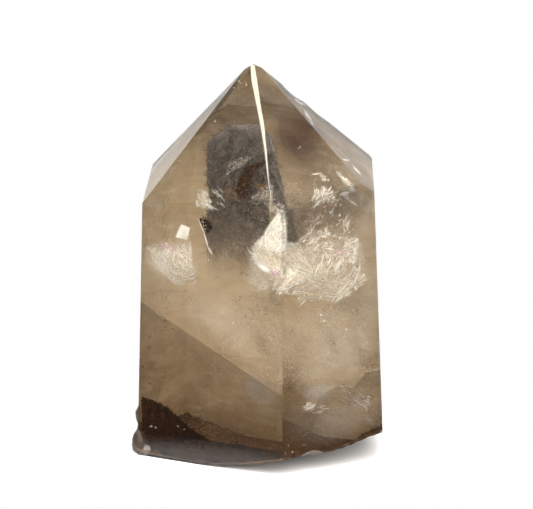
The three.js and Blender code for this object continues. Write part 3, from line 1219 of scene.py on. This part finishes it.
# %% Right swirl
RIGHT_BUNDLES = [
    (combed, FRONT_RIGHT, (-44, 13), 100, (8, 22), (1.0, 3.0), (0.8, 3.0),
     [(284, 256), (290, 247), (296, 243), (303, 247), (302, 256), (308, 264), (313, 276), (304, 279),
      (292, 266)]),
    (combed, FRONT_RIGHT, (24, 16), 50, (7, 18), (0.8, 2.6), (0.8, 3.0),
     [(284, 279), (296, 276), (304, 281), (293, 286), (284, 291)]),
    (combed, FRONT_RIGHT, (38, 38), 80, (4, 13), (0.6, 2.0), (2.0, 6.0),
     [(342, 248), (348, 239), (357, 237), (361, 243), (355, 250), (357, 262), (350, 263), (345, 255)]),
    (ringed, FRONT_RIGHT, 15, 130, (9, 26), (0.4, 1.5), (2.5, 8.0),
     [(326, 256), (14, 36), (185, 350), 1.0]),
    (ringed, FRONT_RIGHT, 15, 50, (8, 20), (0.4, 1.5), (2.5, 8.0),
     [(322, 262), (16, 34), (60, 165), 0.9]),
    (combed, FRONT_RIGHT, (14, 13), 46, (8, 22), (0.4, 1.3), (3.0, 8.0),
     [(285, 287), (325, 284), (345, 276), (330, 300), (300, 304)]),
    (combed, FRONT_RIGHT, (58, 22), 40, (5, 14), (0.5, 1.7), (3.0, 7.0),
     [(312, 220), (326, 214), (330, 236), (306, 246), (300, 238)]),
    (combed, FRONT_RIGHT, (48, 18), 22, (3, 8), (0.4, 1.3), (2.0, 6.0),
     [(300, 206), (345, 198), (340, 220), (310, 226)]),
    (combed, TOP_FRONT_RIGHT, (62, 16), 46, (5, 16), (0.3, 1.2), (2.0, 4.5),
     [(312, 199), (315, 189), (324, 187), (333, 193), (322, 199)]),
    (combed, TOP_FRONT_RIGHT, (-32, 22), 22, (4, 12), (0.3, 1.1), (2.0, 4.0),
     [(318, 174), (322, 173), (329, 181), (322, 181)]),
    (combed, TOP_FRONT_RIGHT, (-42, 8), 24, (6, 14), (0.6, 1.5), (2.0, 4.0),
     [(338, 173), (343, 177), (352, 186), (345, 182)]),
    (combed, FRONT_RIGHT, (66, 26), 60, (7, 18), (0.5, 1.6), (3.0, 7.0),
     [(312, 246), (334, 242), (340, 262), (326, 280), (312, 272)]),
    (combed, FRONT_RIGHT, (40, 24), 26, (5, 14), (0.4, 1.4), (3.0, 7.0),
     [(328, 222), (350, 216), (356, 236), (334, 244)]),
    (combed, FRONT_RIGHT, (-34, 12), 44, (6, 16), (0.4, 1.3), (1.0, 4.0),
     [(338, 388), (352, 385), (369, 396), (369, 410), (352, 405)]),
    (combed, FRONT_RIGHT, (8, 16), 26, (6, 14), (0.6, 1.8), (1.0, 3.0),
     [(302, 405), (318, 402), (329, 408), (322, 413), (306, 412)]),
    (combed, FRONT_RIGHT, (34, 14), 30, (8, 20), (0.5, 1.8), (3.0, 7.0),
     [(322, 300), (345, 284), (366, 266), (366, 280), (344, 300)]),
]
swirl("right", RIGHT_BUNDLES)

# %% Single bright blades
# The facet, the depth in millimetres, and the rows that single_feathers reads.
# Painted glints: matt white blades where edges and cracks catch the light.
BRIGHT_BLADES = [
    (TOP_FRONT_RIGHT, 2.0, [(316, 174, 4, 9, 1.3, 0.0), (344, 191, 26, 10, 2.6, 0.0)]),
    (FRONT_RIGHT, 2.5, [
        (338, 265, 60, 15, 3.6, 0.5), (346, 196, -46, 10, 4.4, 0.5), (352, 202, -32, 16, 1.8, 0.5),
        (317, 269, 66, 18, 1.0, 1.5), (322, 262, 80, 16, 0.9, 1.0), (329, 262, 62, 9, 1.4, 0.0),
        (309, 272, -62, 12, 4.0, 0.5),
    ]),
    (TOP_RIGHT, 1.0, [(346, 160, -10, 8, 1.6, -0.8), (357, 170.5, -46, 12, 1.3, 0.0)]),
]
new_piece("bright_blades", joined([single_feathers(*row) for row in BRIGHT_BLADES]), PAINTED_GLINT_WHITE)

# %% [markdown]
# Cracks near the hidden sides
#
# The photo says nothing about the back, but a crystal with so many healed cracks in
# front has some behind as well. These few bundles are a guess. They are placed in
# millimetres on each hidden facet, just inside it.

# %% Cracks near the hidden sides
MIDDLE_HEIGHT = 45.0
# The facet, the bundle's middle and its spread (across, up), its angle and its count.
HIDDEN_BUNDLES = [
    ("back right", (-6, 14), (9, 5), 50, 120),
    ("back right", (2, -14), (8, 9), -35, 90),
    ("back right", (-10, -28), (7, 4), 15, 60),
    ("back left", (3, 8), (6, 8), 60, 110),
    ("back left", (-4, -18), (8, 5), -20, 90),
    ("right", (5, 2), (4, 7), 70, 60),
    ("left", (-4, -6), (5, 7), -60, 60),
]
HIDDEN_PACKED = 0.6
HIDDEN_STRAY = 22.0
HIDDEN_LENGTHS = (1.5, 5.0)
HIDDEN_WIDTHS = (0.08, 0.35)
HIDDEN_DEPTHS = (0.6, 1.4)
HIDDEN_BEND = 0.35
HIDDEN_LEAN = 0.1
HIDDEN_WIDER = 4.0
HIDDEN_NARROWER = 0.5
HIDDEN_DEEPER = 0.2


def on_facet(spots, depth, through):
    """Points under a facet, placed by (across, up) in millimetres from the facet's middle height."""
    normal, distance = through
    across = unit(np.cross([0, 0, 1.0], normal))
    up = np.cross(normal, across)
    foot = (distance - MIDDLE_HEIGHT * normal[2]) * normal + np.array([0, 0, MIDDLE_HEIGHT])
    on_plane = foot + spots[:, :1] * across + spots[:, 1:] * up
    return on_plane - np.broadcast_to(depth, len(spots))[:, None] * normal


def hidden_bundle(side, middle, spread, angle, count):
    """Soft and sharp feathers scattered round a middle: a bell curve both across and up."""
    spots = np.array(middle) + rng.normal(size=(count, 2)) * np.array(spread) * HIDDEN_PACKED
    angles = angle + HIDDEN_STRAY * rng.normal(size=count)
    lengths = rng.uniform(*HIDDEN_LENGTHS, count)
    widths = rng.uniform(*HIDDEN_WIDTHS, count)
    depth = rng.uniform(*HIDDEN_DEPTHS, count)
    bends = rng.normal(scale=HIDDEN_BEND, size=count)
    kinds = [(HIDDEN_WIDER, depth + HIDDEN_DEEPER), (HIDDEN_NARROWER, depth)]
    where = (FACETS[side], HIDDEN_LEAN, on_facet)
    return [feathers(spots, angles, lengths, scale * widths, bends, deep, *where) for scale, deep in kinds]


soft_parts, sharp_parts = zip(*[hidden_bundle(*row) for row in HIDDEN_BUNDLES])
new_piece("hidden_side_glow", kept_inside(joined(soft_parts)), GLOW)
# Painted reflection: the sharp feathers are matt white in place of a mirror flash.
new_piece("hidden_side_feathers", kept_inside(joined(sharp_parts)), PAINTED_GLINT_WHITE)

# %% [markdown]
# Lighter veils round the swirls
#
# Between the bright feathers the stone is milkier, as if brushed. The same small
# flecks as the haze, packed closer inside picture outlines, give that milkiness. A
# few brighter ones on top are painted sparkle: matt white in place of glints. A row
# says the facet, the two depths in millimetres, how many flecks are tried, and the
# outline in the picture.

# %% Brushed milk
MILK = [
    (FRONT_LEFT, (2.5, 8), 2600, [(166, 240), (192, 240), (194, 276), (172, 278), (146, 262), (146, 246)]),
    (FRONT_LEFT, (3, 9), 4200, [(250, 255), (262, 243), (282, 222), (282, 292), (258, 288)]),
    (FRONT_LEFT, (1.5, 3), 2600, [(181, 225), (190, 228), (187, 240), (175, 237)]),
    (FRONT_LEFT, (3, 16), 3200,
     [(160, 285), (200, 290), (240, 285), (282, 300), (282, 390), (262, 380), (200, 335), (150, 300)]),
    (FRONT_RIGHT, (3, 10), 9500,
     [(286, 250), (300, 242), (330, 232), (360, 238), (366, 262), (340, 290), (300, 304), (284, 292)]),
    (FRONT_RIGHT, (3, 9), 2200, [(318, 304), (336, 284), (362, 268), (370, 262), (366, 280), (340, 302)]),
    (FRONT_RIGHT, (3, 16), 3000, [(284, 320), (370, 300), (374, 350), (300, 385), (284, 384)]),
    (TOP_FRONT_LEFT, (1.5, 4), 1100, [(249, 200), (268, 182), (271, 201)]),
    (TOP_FRONT_LEFT, (1.0, 2.5), 1700,
     [(253, 157), (240, 158), (231, 163), (224, 178), (230, 172), (242, 166)]),
    (TOP_FRONT_RIGHT, (4, 12), 900, [(280, 176), (312, 186), (310, 202), (288, 208)]),
]
dust_piece("brushed_milk", MILK, PALE, sizes=(0.06, 0.15), blur=1.0)

# %% Sparkle
SPARKLE = [
    (FRONT_RIGHT, (2, 5), 5200,
     [(300, 214), (334, 204), (352, 214), (362, 250), (340, 284), (300, 300), (285, 276), (300, 244)]),
    (FRONT_LEFT, (1.5, 4), 900, [(150, 246), (170, 240), (192, 242), (194, 274), (176, 280), (156, 268)]),
    (FRONT_LEFT, (1.5, 4), 900, [(252, 270), (282, 262), (282, 296), (262, 294)]),
    (TOP_FRONT_RIGHT, (1.5, 4), 300, [(310, 200), (318, 186), (340, 184), (330, 198)]),
]
# Painted sparkle: white flecks in place of tiny glints.
dust_piece("swirl_sparkle", SPARKLE, PAINTED_GLINT_WHITE, sizes=(0.05, 0.12), blur=3.0)

# %% [markdown]
# Dark dust and stains
#
# Grey dust hangs under the shoulder on the right, brown iron colours the inside of
# the ghost and the upper right, and the lower left of the root is nearly black. A
# black shard lies beside the ghost. All of it is mineral powder, so it is matt, and
# it is drawn with flecks of its own colour. The rows read as in the last step.

# %% Grey and brown dust
GREY_DUST = [
    (FRONT_RIGHT, (5, 14), 5200,
     [(284, 213), (330, 200), (362, 186), (368, 205), (330, 226), (300, 240), (284, 262)]),
    (FRONT_RIGHT, (4, 10), 2600, [(284, 213), (304, 207), (302, 228), (292, 250), (284, 276)]),
    (FRONT_LEFT, (8, 14), 1700, [(210, 204), (269, 204), (264, 216), (240, 232), (222, 226)]),
    (FRONT_LEFT, (5, 9), 1200, [(207, 218), (222, 212), (224, 242), (214, 252), (207, 240)]),
]
BROWN_DUST = [
    (TOP_FRONT_RIGHT, (5, 14), 3600, [(278, 122), (306, 118), (322, 136), (318, 152), (284, 150)]),
    (FRONT_RIGHT, (3, 14), 1100, [(284, 400), (330, 388), (368, 392), (372, 425), (330, 444), (284, 455)]),
    (FRONT_RIGHT, (1.5, 6), 2600,
     [(317, 403), (337, 388), (353, 390), (368, 376), (378, 374), (376, 418), (330, 440), (302, 446),
      (296, 420)]),
    (FRONT_LEFT, (2, 14), 9000, [(140, 400), (200, 436), (282, 424), (282, 456), (140, 452)]),
    (FRONT_RIGHT, (2, 5), 500, [(358, 360), (375, 358), (376, 374), (362, 376)]),
    (FRONT_LEFT, (2, 5), 160, [(272, 292), (282, 295), (282, 305), (276, 303)]),
    (FRONT_LEFT, (2, 5), 160, [(182, 288), (192, 290), (194, 300), (185, 298)]),
]
# Grey grains of other minerals take the shine off the stone.
GREY_GRAINS = plain_inclusion("grey_mineral_dust", "#75685c", roughness=0.9, deep=0.5)
dust_piece("grey_dust", GREY_DUST, GREY_GRAINS, sizes=(0.07, 0.2), blur=3.0)
# Iron makes the brown warmer than smoke.
BROWN_GRAINS = plain_inclusion("brown_iron_dust", "#7a5f48", roughness=0.9, deep=0.5)
dust_piece("brown_dust", BROWN_DUST, BROWN_GRAINS, sizes=(0.07, 0.2), blur=4.0)

# %% Black dust, rust and ochre
ROOT_EDGE = [(141.5, 397), (153, 400), (168, 408), (180, 419), (190, 428), (200, 435), (214, 443)]
BLACK_DUST = [
    (FRONT_LEFT, (1.2, 8), 13000, [*ROOT_EDGE, (206, 449), (142, 447)]),
    (FRONT_LEFT, (1.2, 5), 1500, [(228, 441), (247, 446), (262, 459), (240, 453)]),
    (FRONT_LEFT, (2.5, 4), 900, [(199, 219), (205, 217), (213, 229), (209, 231), (207, 235), (203, 227)]),
]
RUST_SPECKS = [
    (TOP_FRONT_LEFT, (1.0, 2.5), 1600,
     [(262, 161), (254, 164), (245, 168), (240, 178), (236, 187), (238, 198), (247, 199), (249, 183),
      (258, 169)]),
]
OCHRE_SPECKS = [
    (TOP_FRONT_LEFT, (1.5, 3.0), 160, [(224, 188), (235, 190), (237, 199), (227, 200)]),
    (TOP_FRONT_LEFT, (1.5, 3.0), 90, [(257, 184), (266, 183), (264, 191), (258, 192)]),
]
# Black as lamp soot, and as matt.
SOOT = plain_inclusion("black_soot", "#20140a", roughness=0.9, deep=0.4)
dust_piece("black_dust", BLACK_DUST, SOOT, sizes=(0.12, 0.34), blur=0.9)
# Rust and ochre glow a little against the grey of the ghost.
RUST = plain_inclusion("rust", "#4a2c10", roughness=0.9, deep=0.5)
dust_piece("rust_specks", RUST_SPECKS, RUST, sizes=(0.15, 0.4), blur=0.7)
OCHRE = plain_inclusion("ochre", "#a8783f", roughness=0.9, deep=0.7)
dust_piece("orange_specks", OCHRE_SPECKS, OCHRE, sizes=(0.12, 0.26), blur=0.7)

# %% [markdown]
# Clouds
#
# Some tones change too softly for flecks, which would have to be many times as many:
# brown smoke in the upper right, grey under the shoulder, milk round the swirls, a
# bluish film low in the middle, and painted highlights where the cracks flash. Each
# is a sheet between four picture corners, a few millimetres behind its facet, bowed
# and tilted so that it isn't flat, and soft at its rim.

# %% Finishes of the clouds
# Each row says the colour, the greatest opacity, the size of its patches in
# millimetres, what is left between them, and where it starts to thin out.
CLOUD_LOOKS = {
    # Dust in the thick of the ghost: nearly black, and patchy.
    "deep_ghost_shadow": ("#3a302a", 0.5, 3.33, 0.5, 0.1),
    # Smoke that the crystal's own radiation burnt in: brown and broad, with no edge.
    "wide_brown_smoke": ("#5a4536", 0.36, 6.67, 0.6, 0.0),
    "brown_smoke": ("#483428", 0.92, 6.67, 0.7, 0.2),
    "faint_smoke": ("#6b5746", 0.3, 5.56, 0.5, 0.1),
    # Grey dust so fine that it only dims what lies behind it.
    "shoulder_grey": ("#5f544b", 0.48, 3.33, 0.35, 0.3),
    "grey_smoke": ("#62564d", 0.66, 3.85, 0.4, 0.1),
    "faint_grey_smoke": ("#6d6157", 0.36, 3.85, 0.4, 0.1),
    # Pockets of fluid: warm milk, cooler the deeper it lies.
    "soft_milk": ("#f2e9da", 0.5, 4.55, 0.35, 0.1),
    "faint_milk": ("#f2e9da", 0.22, 8.33, 0.5, 0.0),
    "cool_milk": ("#d3ccc0", 0.3, 8.33, 0.6, 0.0),
    # Painted highlight: a near-white film where a crack flashes in the light.
    "painted_flash_white": ("#fffaf0", 0.66, 2.63, 0.3, 0.0),
    # A crack so thin that it scatters blue more than red.
    "bluish_film": ("#aaa69f", 0.42, 3.33, 0.6, 0.45),
    # Soil and iron in the oldest part of the stone: dark, with a crisp upper edge.
    "black_root": ("#231104", 0.95, 3.85, 0.8, 0.75),
    "root_shade": ("#63503c", 0.45, 6.67, 0.75, 0.0),
}
CLOUD_FINISHES = {name: soft_inclusion(name, *look) for name, look in CLOUD_LOOKS.items()}
CLOUD_FINISHES["painted_crack_flash"] = PAINTED_CRACK_FLASH
print(len(CLOUD_FINISHES), "finishes for clouds")

# %% Cloud sheets
CLOUD_TILT = np.array([0.0, 1.0, 0.5, -0.3])
CLOUD_BOW = 1.2
# Each row says the piece, its finish, the facet, the depth, and the picture's corners.
CLOUDS = [
    ("smoke_upper_right", "brown_smoke", TOP_FRONT_RIGHT, 3.0,
     [(262, 104), (316, 100), (346, 164), (268, 178)]),
    ("smoke_upper_wide", "wide_brown_smoke", TOP_FRONT_RIGHT, 3.8,
     [(262, 112), (306, 104), (364, 184), (268, 196)]),
    # Painted highlight: a white sheet where cracks flash in the light.
    ("flash_left", "painted_flash_white", FRONT_LEFT, 4.0, [(146, 244), (196, 236), (196, 282), (150, 280)]),
    ("ghost_shadow", "deep_ghost_shadow", TOP_FRONT_LEFT, 1.6,
     [(232, 164), (276, 134), (276, 204), (228, 204)]),
    ("foot_milk_right", "cool_milk", FRONT_RIGHT, 3.0, [(276, 392), (384, 374), (384, 440), (276, 462)]),
    ("smoke_foot_left", "faint_smoke", FRONT_LEFT, 5.0, [(190, 392), (283, 404), (283, 462), (176, 458)]),
    ("grey_shoulder", "faint_grey_smoke", FRONT_RIGHT, 5.0,
     [(276, 200), (340, 184), (326, 240), (276, 268)]),
    # Painted highlights: these white sheets, down to flash_sweep, stand in for cracks that flash in the
    # light.
    ("wedge_high", "painted_crack_flash", FRONT_LEFT, 1.2,
     [(276, 208), (284, 208), (287, 266), (254, 248)]),
    ("wedge_low", "painted_crack_flash", FRONT_LEFT, 1.6,
     [(244, 254), (264, 240), (288, 266), (270, 282)]),
    ("flash_low_right", "painted_crack_flash", FRONT_RIGHT, 3.0,
     [(281, 262), (292, 258), (312, 280), (290, 290)]),
    ("flash_right", "painted_flash_white", FRONT_RIGHT, 5.0, [(334, 232), (366, 230), (364, 266), (336, 272)]),
    ("flash_rim", "painted_crack_flash", FRONT_RIGHT, 2.6,
     [(281, 240), (298, 240), (304, 262), (282, 266)]),
    ("flash_edge", "painted_flash_white", FRONT_RIGHT, 3.5, [(281, 244), (304, 234), (308, 260), (283, 268)]),
    ("flash_middle", "painted_flash_white", FRONT_RIGHT, 5.5, [(296, 252), (342, 244), (336, 286), (292, 296)]),
    ("flash_sweep", "painted_flash_white", FRONT_RIGHT, 5.5, [(318, 296), (370, 260), (374, 276), (330, 312)]),
    ("grey_edge", "grey_smoke", FRONT_RIGHT, 3.5, [(283, 205), (303, 203), (300, 268), (283, 286)]),
    ("grey_right", "faint_grey_smoke", FRONT_RIGHT, 6.0, [(328, 196), (374, 180), (374, 232), (330, 232)]),
    ("grey_under_ghost", "faint_grey_smoke", FRONT_LEFT, 6.5,
     [(196, 196), (280, 196), (266, 296), (198, 300)]),
    ("grey_wings", "faint_grey_smoke", FRONT_LEFT, 4.5, [(202, 205), (226, 208), (226, 276), (204, 282)]),
    ("milk_above_plane", "faint_milk", FRONT_LEFT, 4.0, [(140, 270), (283, 290), (283, 398), (190, 330)]),
    ("milk_left", "soft_milk", FRONT_LEFT, 5.0, [(138, 236), (200, 236), (200, 286), (138, 286)]),
    ("milk_middle", "soft_milk", FRONT_LEFT, 5.5, [(238, 244), (283, 205), (283, 306), (240, 304)]),
    ("milk_right", "soft_milk", FRONT_RIGHT, 7.0, [(283, 232), (366, 222), (372, 300), (283, 312)]),
    ("milk_low_right", "cool_milk", FRONT_RIGHT, 6.0, [(270, 280), (384, 270), (384, 410), (270, 420)]),
    ("bluish_low", "bluish_film", FRONT_LEFT, 1.2, [(247, 364), (284, 393), (266, 417), (238, 392)]),
    ("bluish_arch", "bluish_film", FRONT_RIGHT, 2.0, [(292, 394), (318, 378), (346, 388), (318, 408)]),
]
for name, finish, through, depth, corners in CLOUDS:
    new_piece(name, sheet(corners, through, depth + CLOUD_TILT, CLOUD_BOW), CLOUD_FINISHES[finish])

# %% [markdown]
# Shades with one crisp edge
#
# The growth plane, the shoulder and the black root each have a sharp upper edge and
# fade downward. A sheet is soft all round, so it can't give that, but a ribbon can:
# it is crisp along its top line, and thinner toward its bottom one. Each row says
# the piece, its finish, the facet, the depth, how far it fades, and the top and
# bottom lines in the picture.

# %% Ribbons
RIBBONS = [
    ("shoulder_shade", "shoulder_grey", FRONT_RIGHT, 0.8, 1.0,
     [(282.8, 213), (318, 199.5), (354, 185.6), (372, 192)],
     [(282.8, 290), (312, 250), (346, 226), (372, 232)]),
    ("growth_edge_shade", "root_shade", FRONT_LEFT, 0.6, 1.0,
     [(140.8, 301.6), (282.3, 396.6)],
     [(140.8, 350.0), (282.3, 440.0)]),
    ("right_foot_shade", "root_shade", FRONT_RIGHT, 0.8, 1.0,
     [(282.8, 398), (303, 413), (313, 411), (317, 401), (325, 393), (337, 386), (353, 388), (366, 373),
      (388, 369)],
     [(282.8, 442), (303, 446), (313, 446), (317, 444), (325, 440), (337, 434), (353, 430), (366, 424),
      (388, 416)]),
    ("black_root_film", "black_root", FRONT_LEFT, 1.0, 0.6,
     ROOT_EDGE,
     [(142, 452), (150, 455), (165, 457), (180, 459), (190, 460), (200, 460), (214, 461)]),
    ("dark_rim_film", "black_root", FRONT_LEFT, 0.8, 0.5,
     [(205, 440), (244, 446), (282, 452)],
     [(205, 463), (244, 463), (282, 459)]),
]
for name, finish, *row in RIBBONS:
    new_piece(name, ribbon(*row), CLOUD_FINISHES[finish])

# %% [markdown]
# Bright shards, specks and spots
#
# A few tiny things catch the eye: one window-like white shard on the left, the
# bright rim of the black shard, pink spots where a film is just thick enough to
# show one colour, and scattered light and dark specks. They are too few and too
# small for bundles or clouds, so each is placed one by one.

# %% Shards
WINDOW = [(181.5, 224.5), (190, 228), (187, 240), (175.5, 237)]
WINDOW_DEPTHS = (1.5, 1.7, 2.3, 2.0)
WINDOW_BOW = 0.3
WINDOW_CELLS = 6
SHARD_RIM = [(201.25, 226, -68, 17, 1.0, 0), (206, 240, -74, 16, 1.6, 0), (210, 250.5, -60, 10, 2.0, 0)]
SHARD_RIM_DEPTH = 1.8
SHARD_RIM_LEAN = 0.2

# Painted reflection: the window shard and the black shard's rim are matt white in place of their flash.
window = sheet(WINDOW, FRONT_LEFT, WINDOW_DEPTHS, WINDOW_BOW, WINDOW_CELLS)
new_piece("window_shard", window, PAINTED_GLINT_WHITE)
shard_rim = single_feathers(FRONT_LEFT, SHARD_RIM_DEPTH, SHARD_RIM, SHARD_RIM_LEAN)
new_piece("black_shard_rim", shard_rim, PAINTED_GLINT_WHITE)

# %% Specks and spots
LIGHT_SPECKS = [
    (321, 314), (324, 321), (271, 339), (233, 323), (288, 446), (209, 260), (317, 206), (331, 212),
    (293, 452), (304, 445), (150, 426), (156, 428), (178, 426), (184, 429), (215, 120), (180, 160),
    (354, 196), (284, 219), (256, 79), (246, 85), (239, 82), (233, 87), (300, 147), (338, 153),
    (262, 312), (222, 312), (345, 330),
]
DARK_SPECKS = [
    (291, 333), (334, 343), (151, 348), (142, 366), (149, 376), (149, 384), (172, 330), (171, 344),
    (200, 416), (254, 79), (258, 98), (240, 300), (310, 352), (264, 345), (196, 300), (229, 375),
    (165, 372), (214, 392),
]
PINK_SPOTS = [(167, 245), (171, 248), (161, 247), (275, 273), (276, 276), (274, 271), (341, 253)]
FRONT_EDGE_COLUMN = 282
TIP_COLUMN = 262
SHOULDER_ROW = 203
SPECK_STRAY = 0.8
SPECK_MARGIN = 0.15


def specks(name, spots, material, size, depth, copies):
    """A few flecks round each picture position, behind whichever front facet shows it."""
    spots = np.repeat(np.array(spots, float), copies, axis=0)
    spots += rng.normal(scale=SPECK_STRAY, size=spots.shape)
    low = spots[:, 1] >= SHOULDER_ROW
    right = spots[:, 0] >= np.where(low, FRONT_EDGE_COLUMN, TIP_COLUMN)
    places = [(FRONT_LEFT, low & ~right), (FRONT_RIGHT, low & right)]
    places += [(TOP_FRONT_LEFT, ~low & ~right), (TOP_FRONT_RIGHT, ~low & right)]
    centres = np.concatenate([sunk(spots[here], depth, through) for through, here in places])
    centres = centres[inside(centres, SPECK_MARGIN)]
    return fleck_piece(name, centres, (0.5 * size, size), material)


# Painted glints: the light specks are matt white in place of tiny reflections.
specks("light_specks", LIGHT_SPECKS, PAINTED_GLINT_WHITE, size=0.3, depth=0.8, copies=3)
# Grains of dark mineral, matt and nearly black-brown.
DARK_GRAIN = plain_inclusion("dark_speck", "#3d3023", roughness=0.9, deep=0.6)
specks("dark_specks", DARK_SPECKS, DARK_GRAIN, size=0.35, depth=0.8, copies=3)
# A film as thin as a soap bubble keeps one colour of the light.
PINK_FILM = plain_inclusion("pink_film_colour", "#f3b6e0", roughness=0.4, deep=0.9)
specks("pink_spots", PINK_SPOTS, PINK_FILM, size=0.45, depth=1.0, copies=6)

# %% [markdown]
# The studio
#
# The picture was lit softly against white, so the studio is an even room with a pale
# floor. The floor fades out a little way from the stone, so that it takes a soft
# shadow but has no edge. Lamps would do too, but their outlines would show in the
# polished facets, so the light is part of the room itself: a broad glow over the
# camera makes the healed cracks flash, and a weak one behind lightens the far
# facets.

# %% Floor
FLOOR_DROP = 0.1 * MM
FLOOR_REACH = 0.07
FLOOR_SOLID = 0.026
FLOOR_GONE = 0.06
FLOOR_COLOUR = "#dcdad7"
FLOOR_CORNERS = [(-1, -1), (1, -1), (1, 1), (-1, 1)]


def floor_material():
    """Matt pale paper, whole under the middle of the stone and thinning out to nothing round it."""
    material, tree, output = new_material("pale_floor")
    place = add_node(tree, "ShaderNodeTexCoord").outputs["Object"]
    out = add_node(tree, "ShaderNodeVectorMath", {"operation": "LENGTH"}, {0: place})
    fading = {
        "Value": out.outputs["Value"], "From Min": FLOOR_GONE, "From Max": FLOOR_SOLID,
        "To Min": 0.0, "To Max": 1.0,
    }
    fade = add_node(tree, "ShaderNodeMapRange", SMOOTH, fading)
    paper = {"Base Color": linear(FLOOR_COLOUR), "Roughness": 0.9, "Alpha": fade.outputs["Result"]}
    surface = add_node(tree, "ShaderNodeBsdfPrincipled", {}, paper)
    tree.links.new(surface.outputs["BSDF"], output.inputs["Surface"])
    return material


floor_mesh = bpy.data.meshes.new("floor")
floor_points = [(FLOOR_REACH * x, FLOOR_REACH * y, 0.0) for x, y in FLOOR_CORNERS]
floor_mesh.from_pydata(floor_points, [], [(0, 1, 2, 3)])
floor_mesh.materials.append(floor_material())
floor = bpy.data.objects.new("floor", floor_mesh)
floor.location.z = -FLOOR_DROP
bpy.context.scene.collection.objects.link(floor)
print("the floor is", 2 * FLOOR_REACH, "m wide")

# %% Light
ROOM_LIGHT = 0.12
KEY_LIGHT = 11.5
KEY_TOWARD = (0.05, -0.8, 0.6)
KEY_RIM = (0.55, 0.92)
BACK_LIGHT = 0.9
BACK_TOWARD = (0.0, 0.97, 0.24)
BACK_RIM = (0.3, 0.9)

world = bpy.data.worlds.new("studio")
bpy.context.scene.world = world
world.use_nodes = True
tree = world.node_tree
tree.nodes.clear()
output = add_node(tree, "ShaderNodeOutputWorld")
direction = add_node(tree, "ShaderNodeTexCoord").outputs["Generated"]


def soft_light(toward, rim, strength):
    """A round soft light: its strength rises as the direction turns toward it."""
    turned = {0: direction, 1: toward}
    facing = add_node(tree, "ShaderNodeVectorMath", {"operation": "DOT_PRODUCT"}, turned)
    dark, full = rim
    rising = {
        "Value": facing.outputs["Value"], "From Min": dark, "From Max": full,
        "To Min": 0.0, "To Max": strength,
    }
    return add_node(tree, "ShaderNodeMapRange", SMOOTH, rising).outputs["Result"]


key = soft_light(KEY_TOWARD, KEY_RIM, KEY_LIGHT)
back = soft_light(BACK_TOWARD, BACK_RIM, BACK_LIGHT)
both = add_node(tree, "ShaderNodeMath", {"operation": "ADD"}, {0: key, 1: back})
total = add_node(tree, "ShaderNodeMath", {"operation": "ADD"}, {0: both.outputs["Value"], 1: ROOM_LIGHT})
room = add_node(tree, "ShaderNodeBackground", {}, {"Strength": total.outputs["Value"]})
backdrop = add_node(tree, "ShaderNodeBackground", {}, {"Color": CLEAR, "Strength": 1.0})
seen = add_node(tree, "ShaderNodeLightPath").outputs["Is Camera Ray"]
mix = add_node(tree, "ShaderNodeMixShader", {}, {"Fac": seen})
tree.links.new(room.outputs["Background"], mix.inputs[1])
tree.links.new(backdrop.outputs["Background"], mix.inputs[2])
tree.links.new(mix.outputs["Shader"], output.inputs["Surface"])
bpy.context.scene.view_settings.view_transform = "Standard"

# Light has to cross many films on its way through the stone.
cycles = bpy.context.scene.cycles
cycles.max_bounces = 24
cycles.diffuse_bounces = 8
cycles.transmission_bounces = 16
cycles.transparent_max_bounces = 48
print("the key light is", KEY_LIGHT, "and the light behind", BACK_LIGHT)
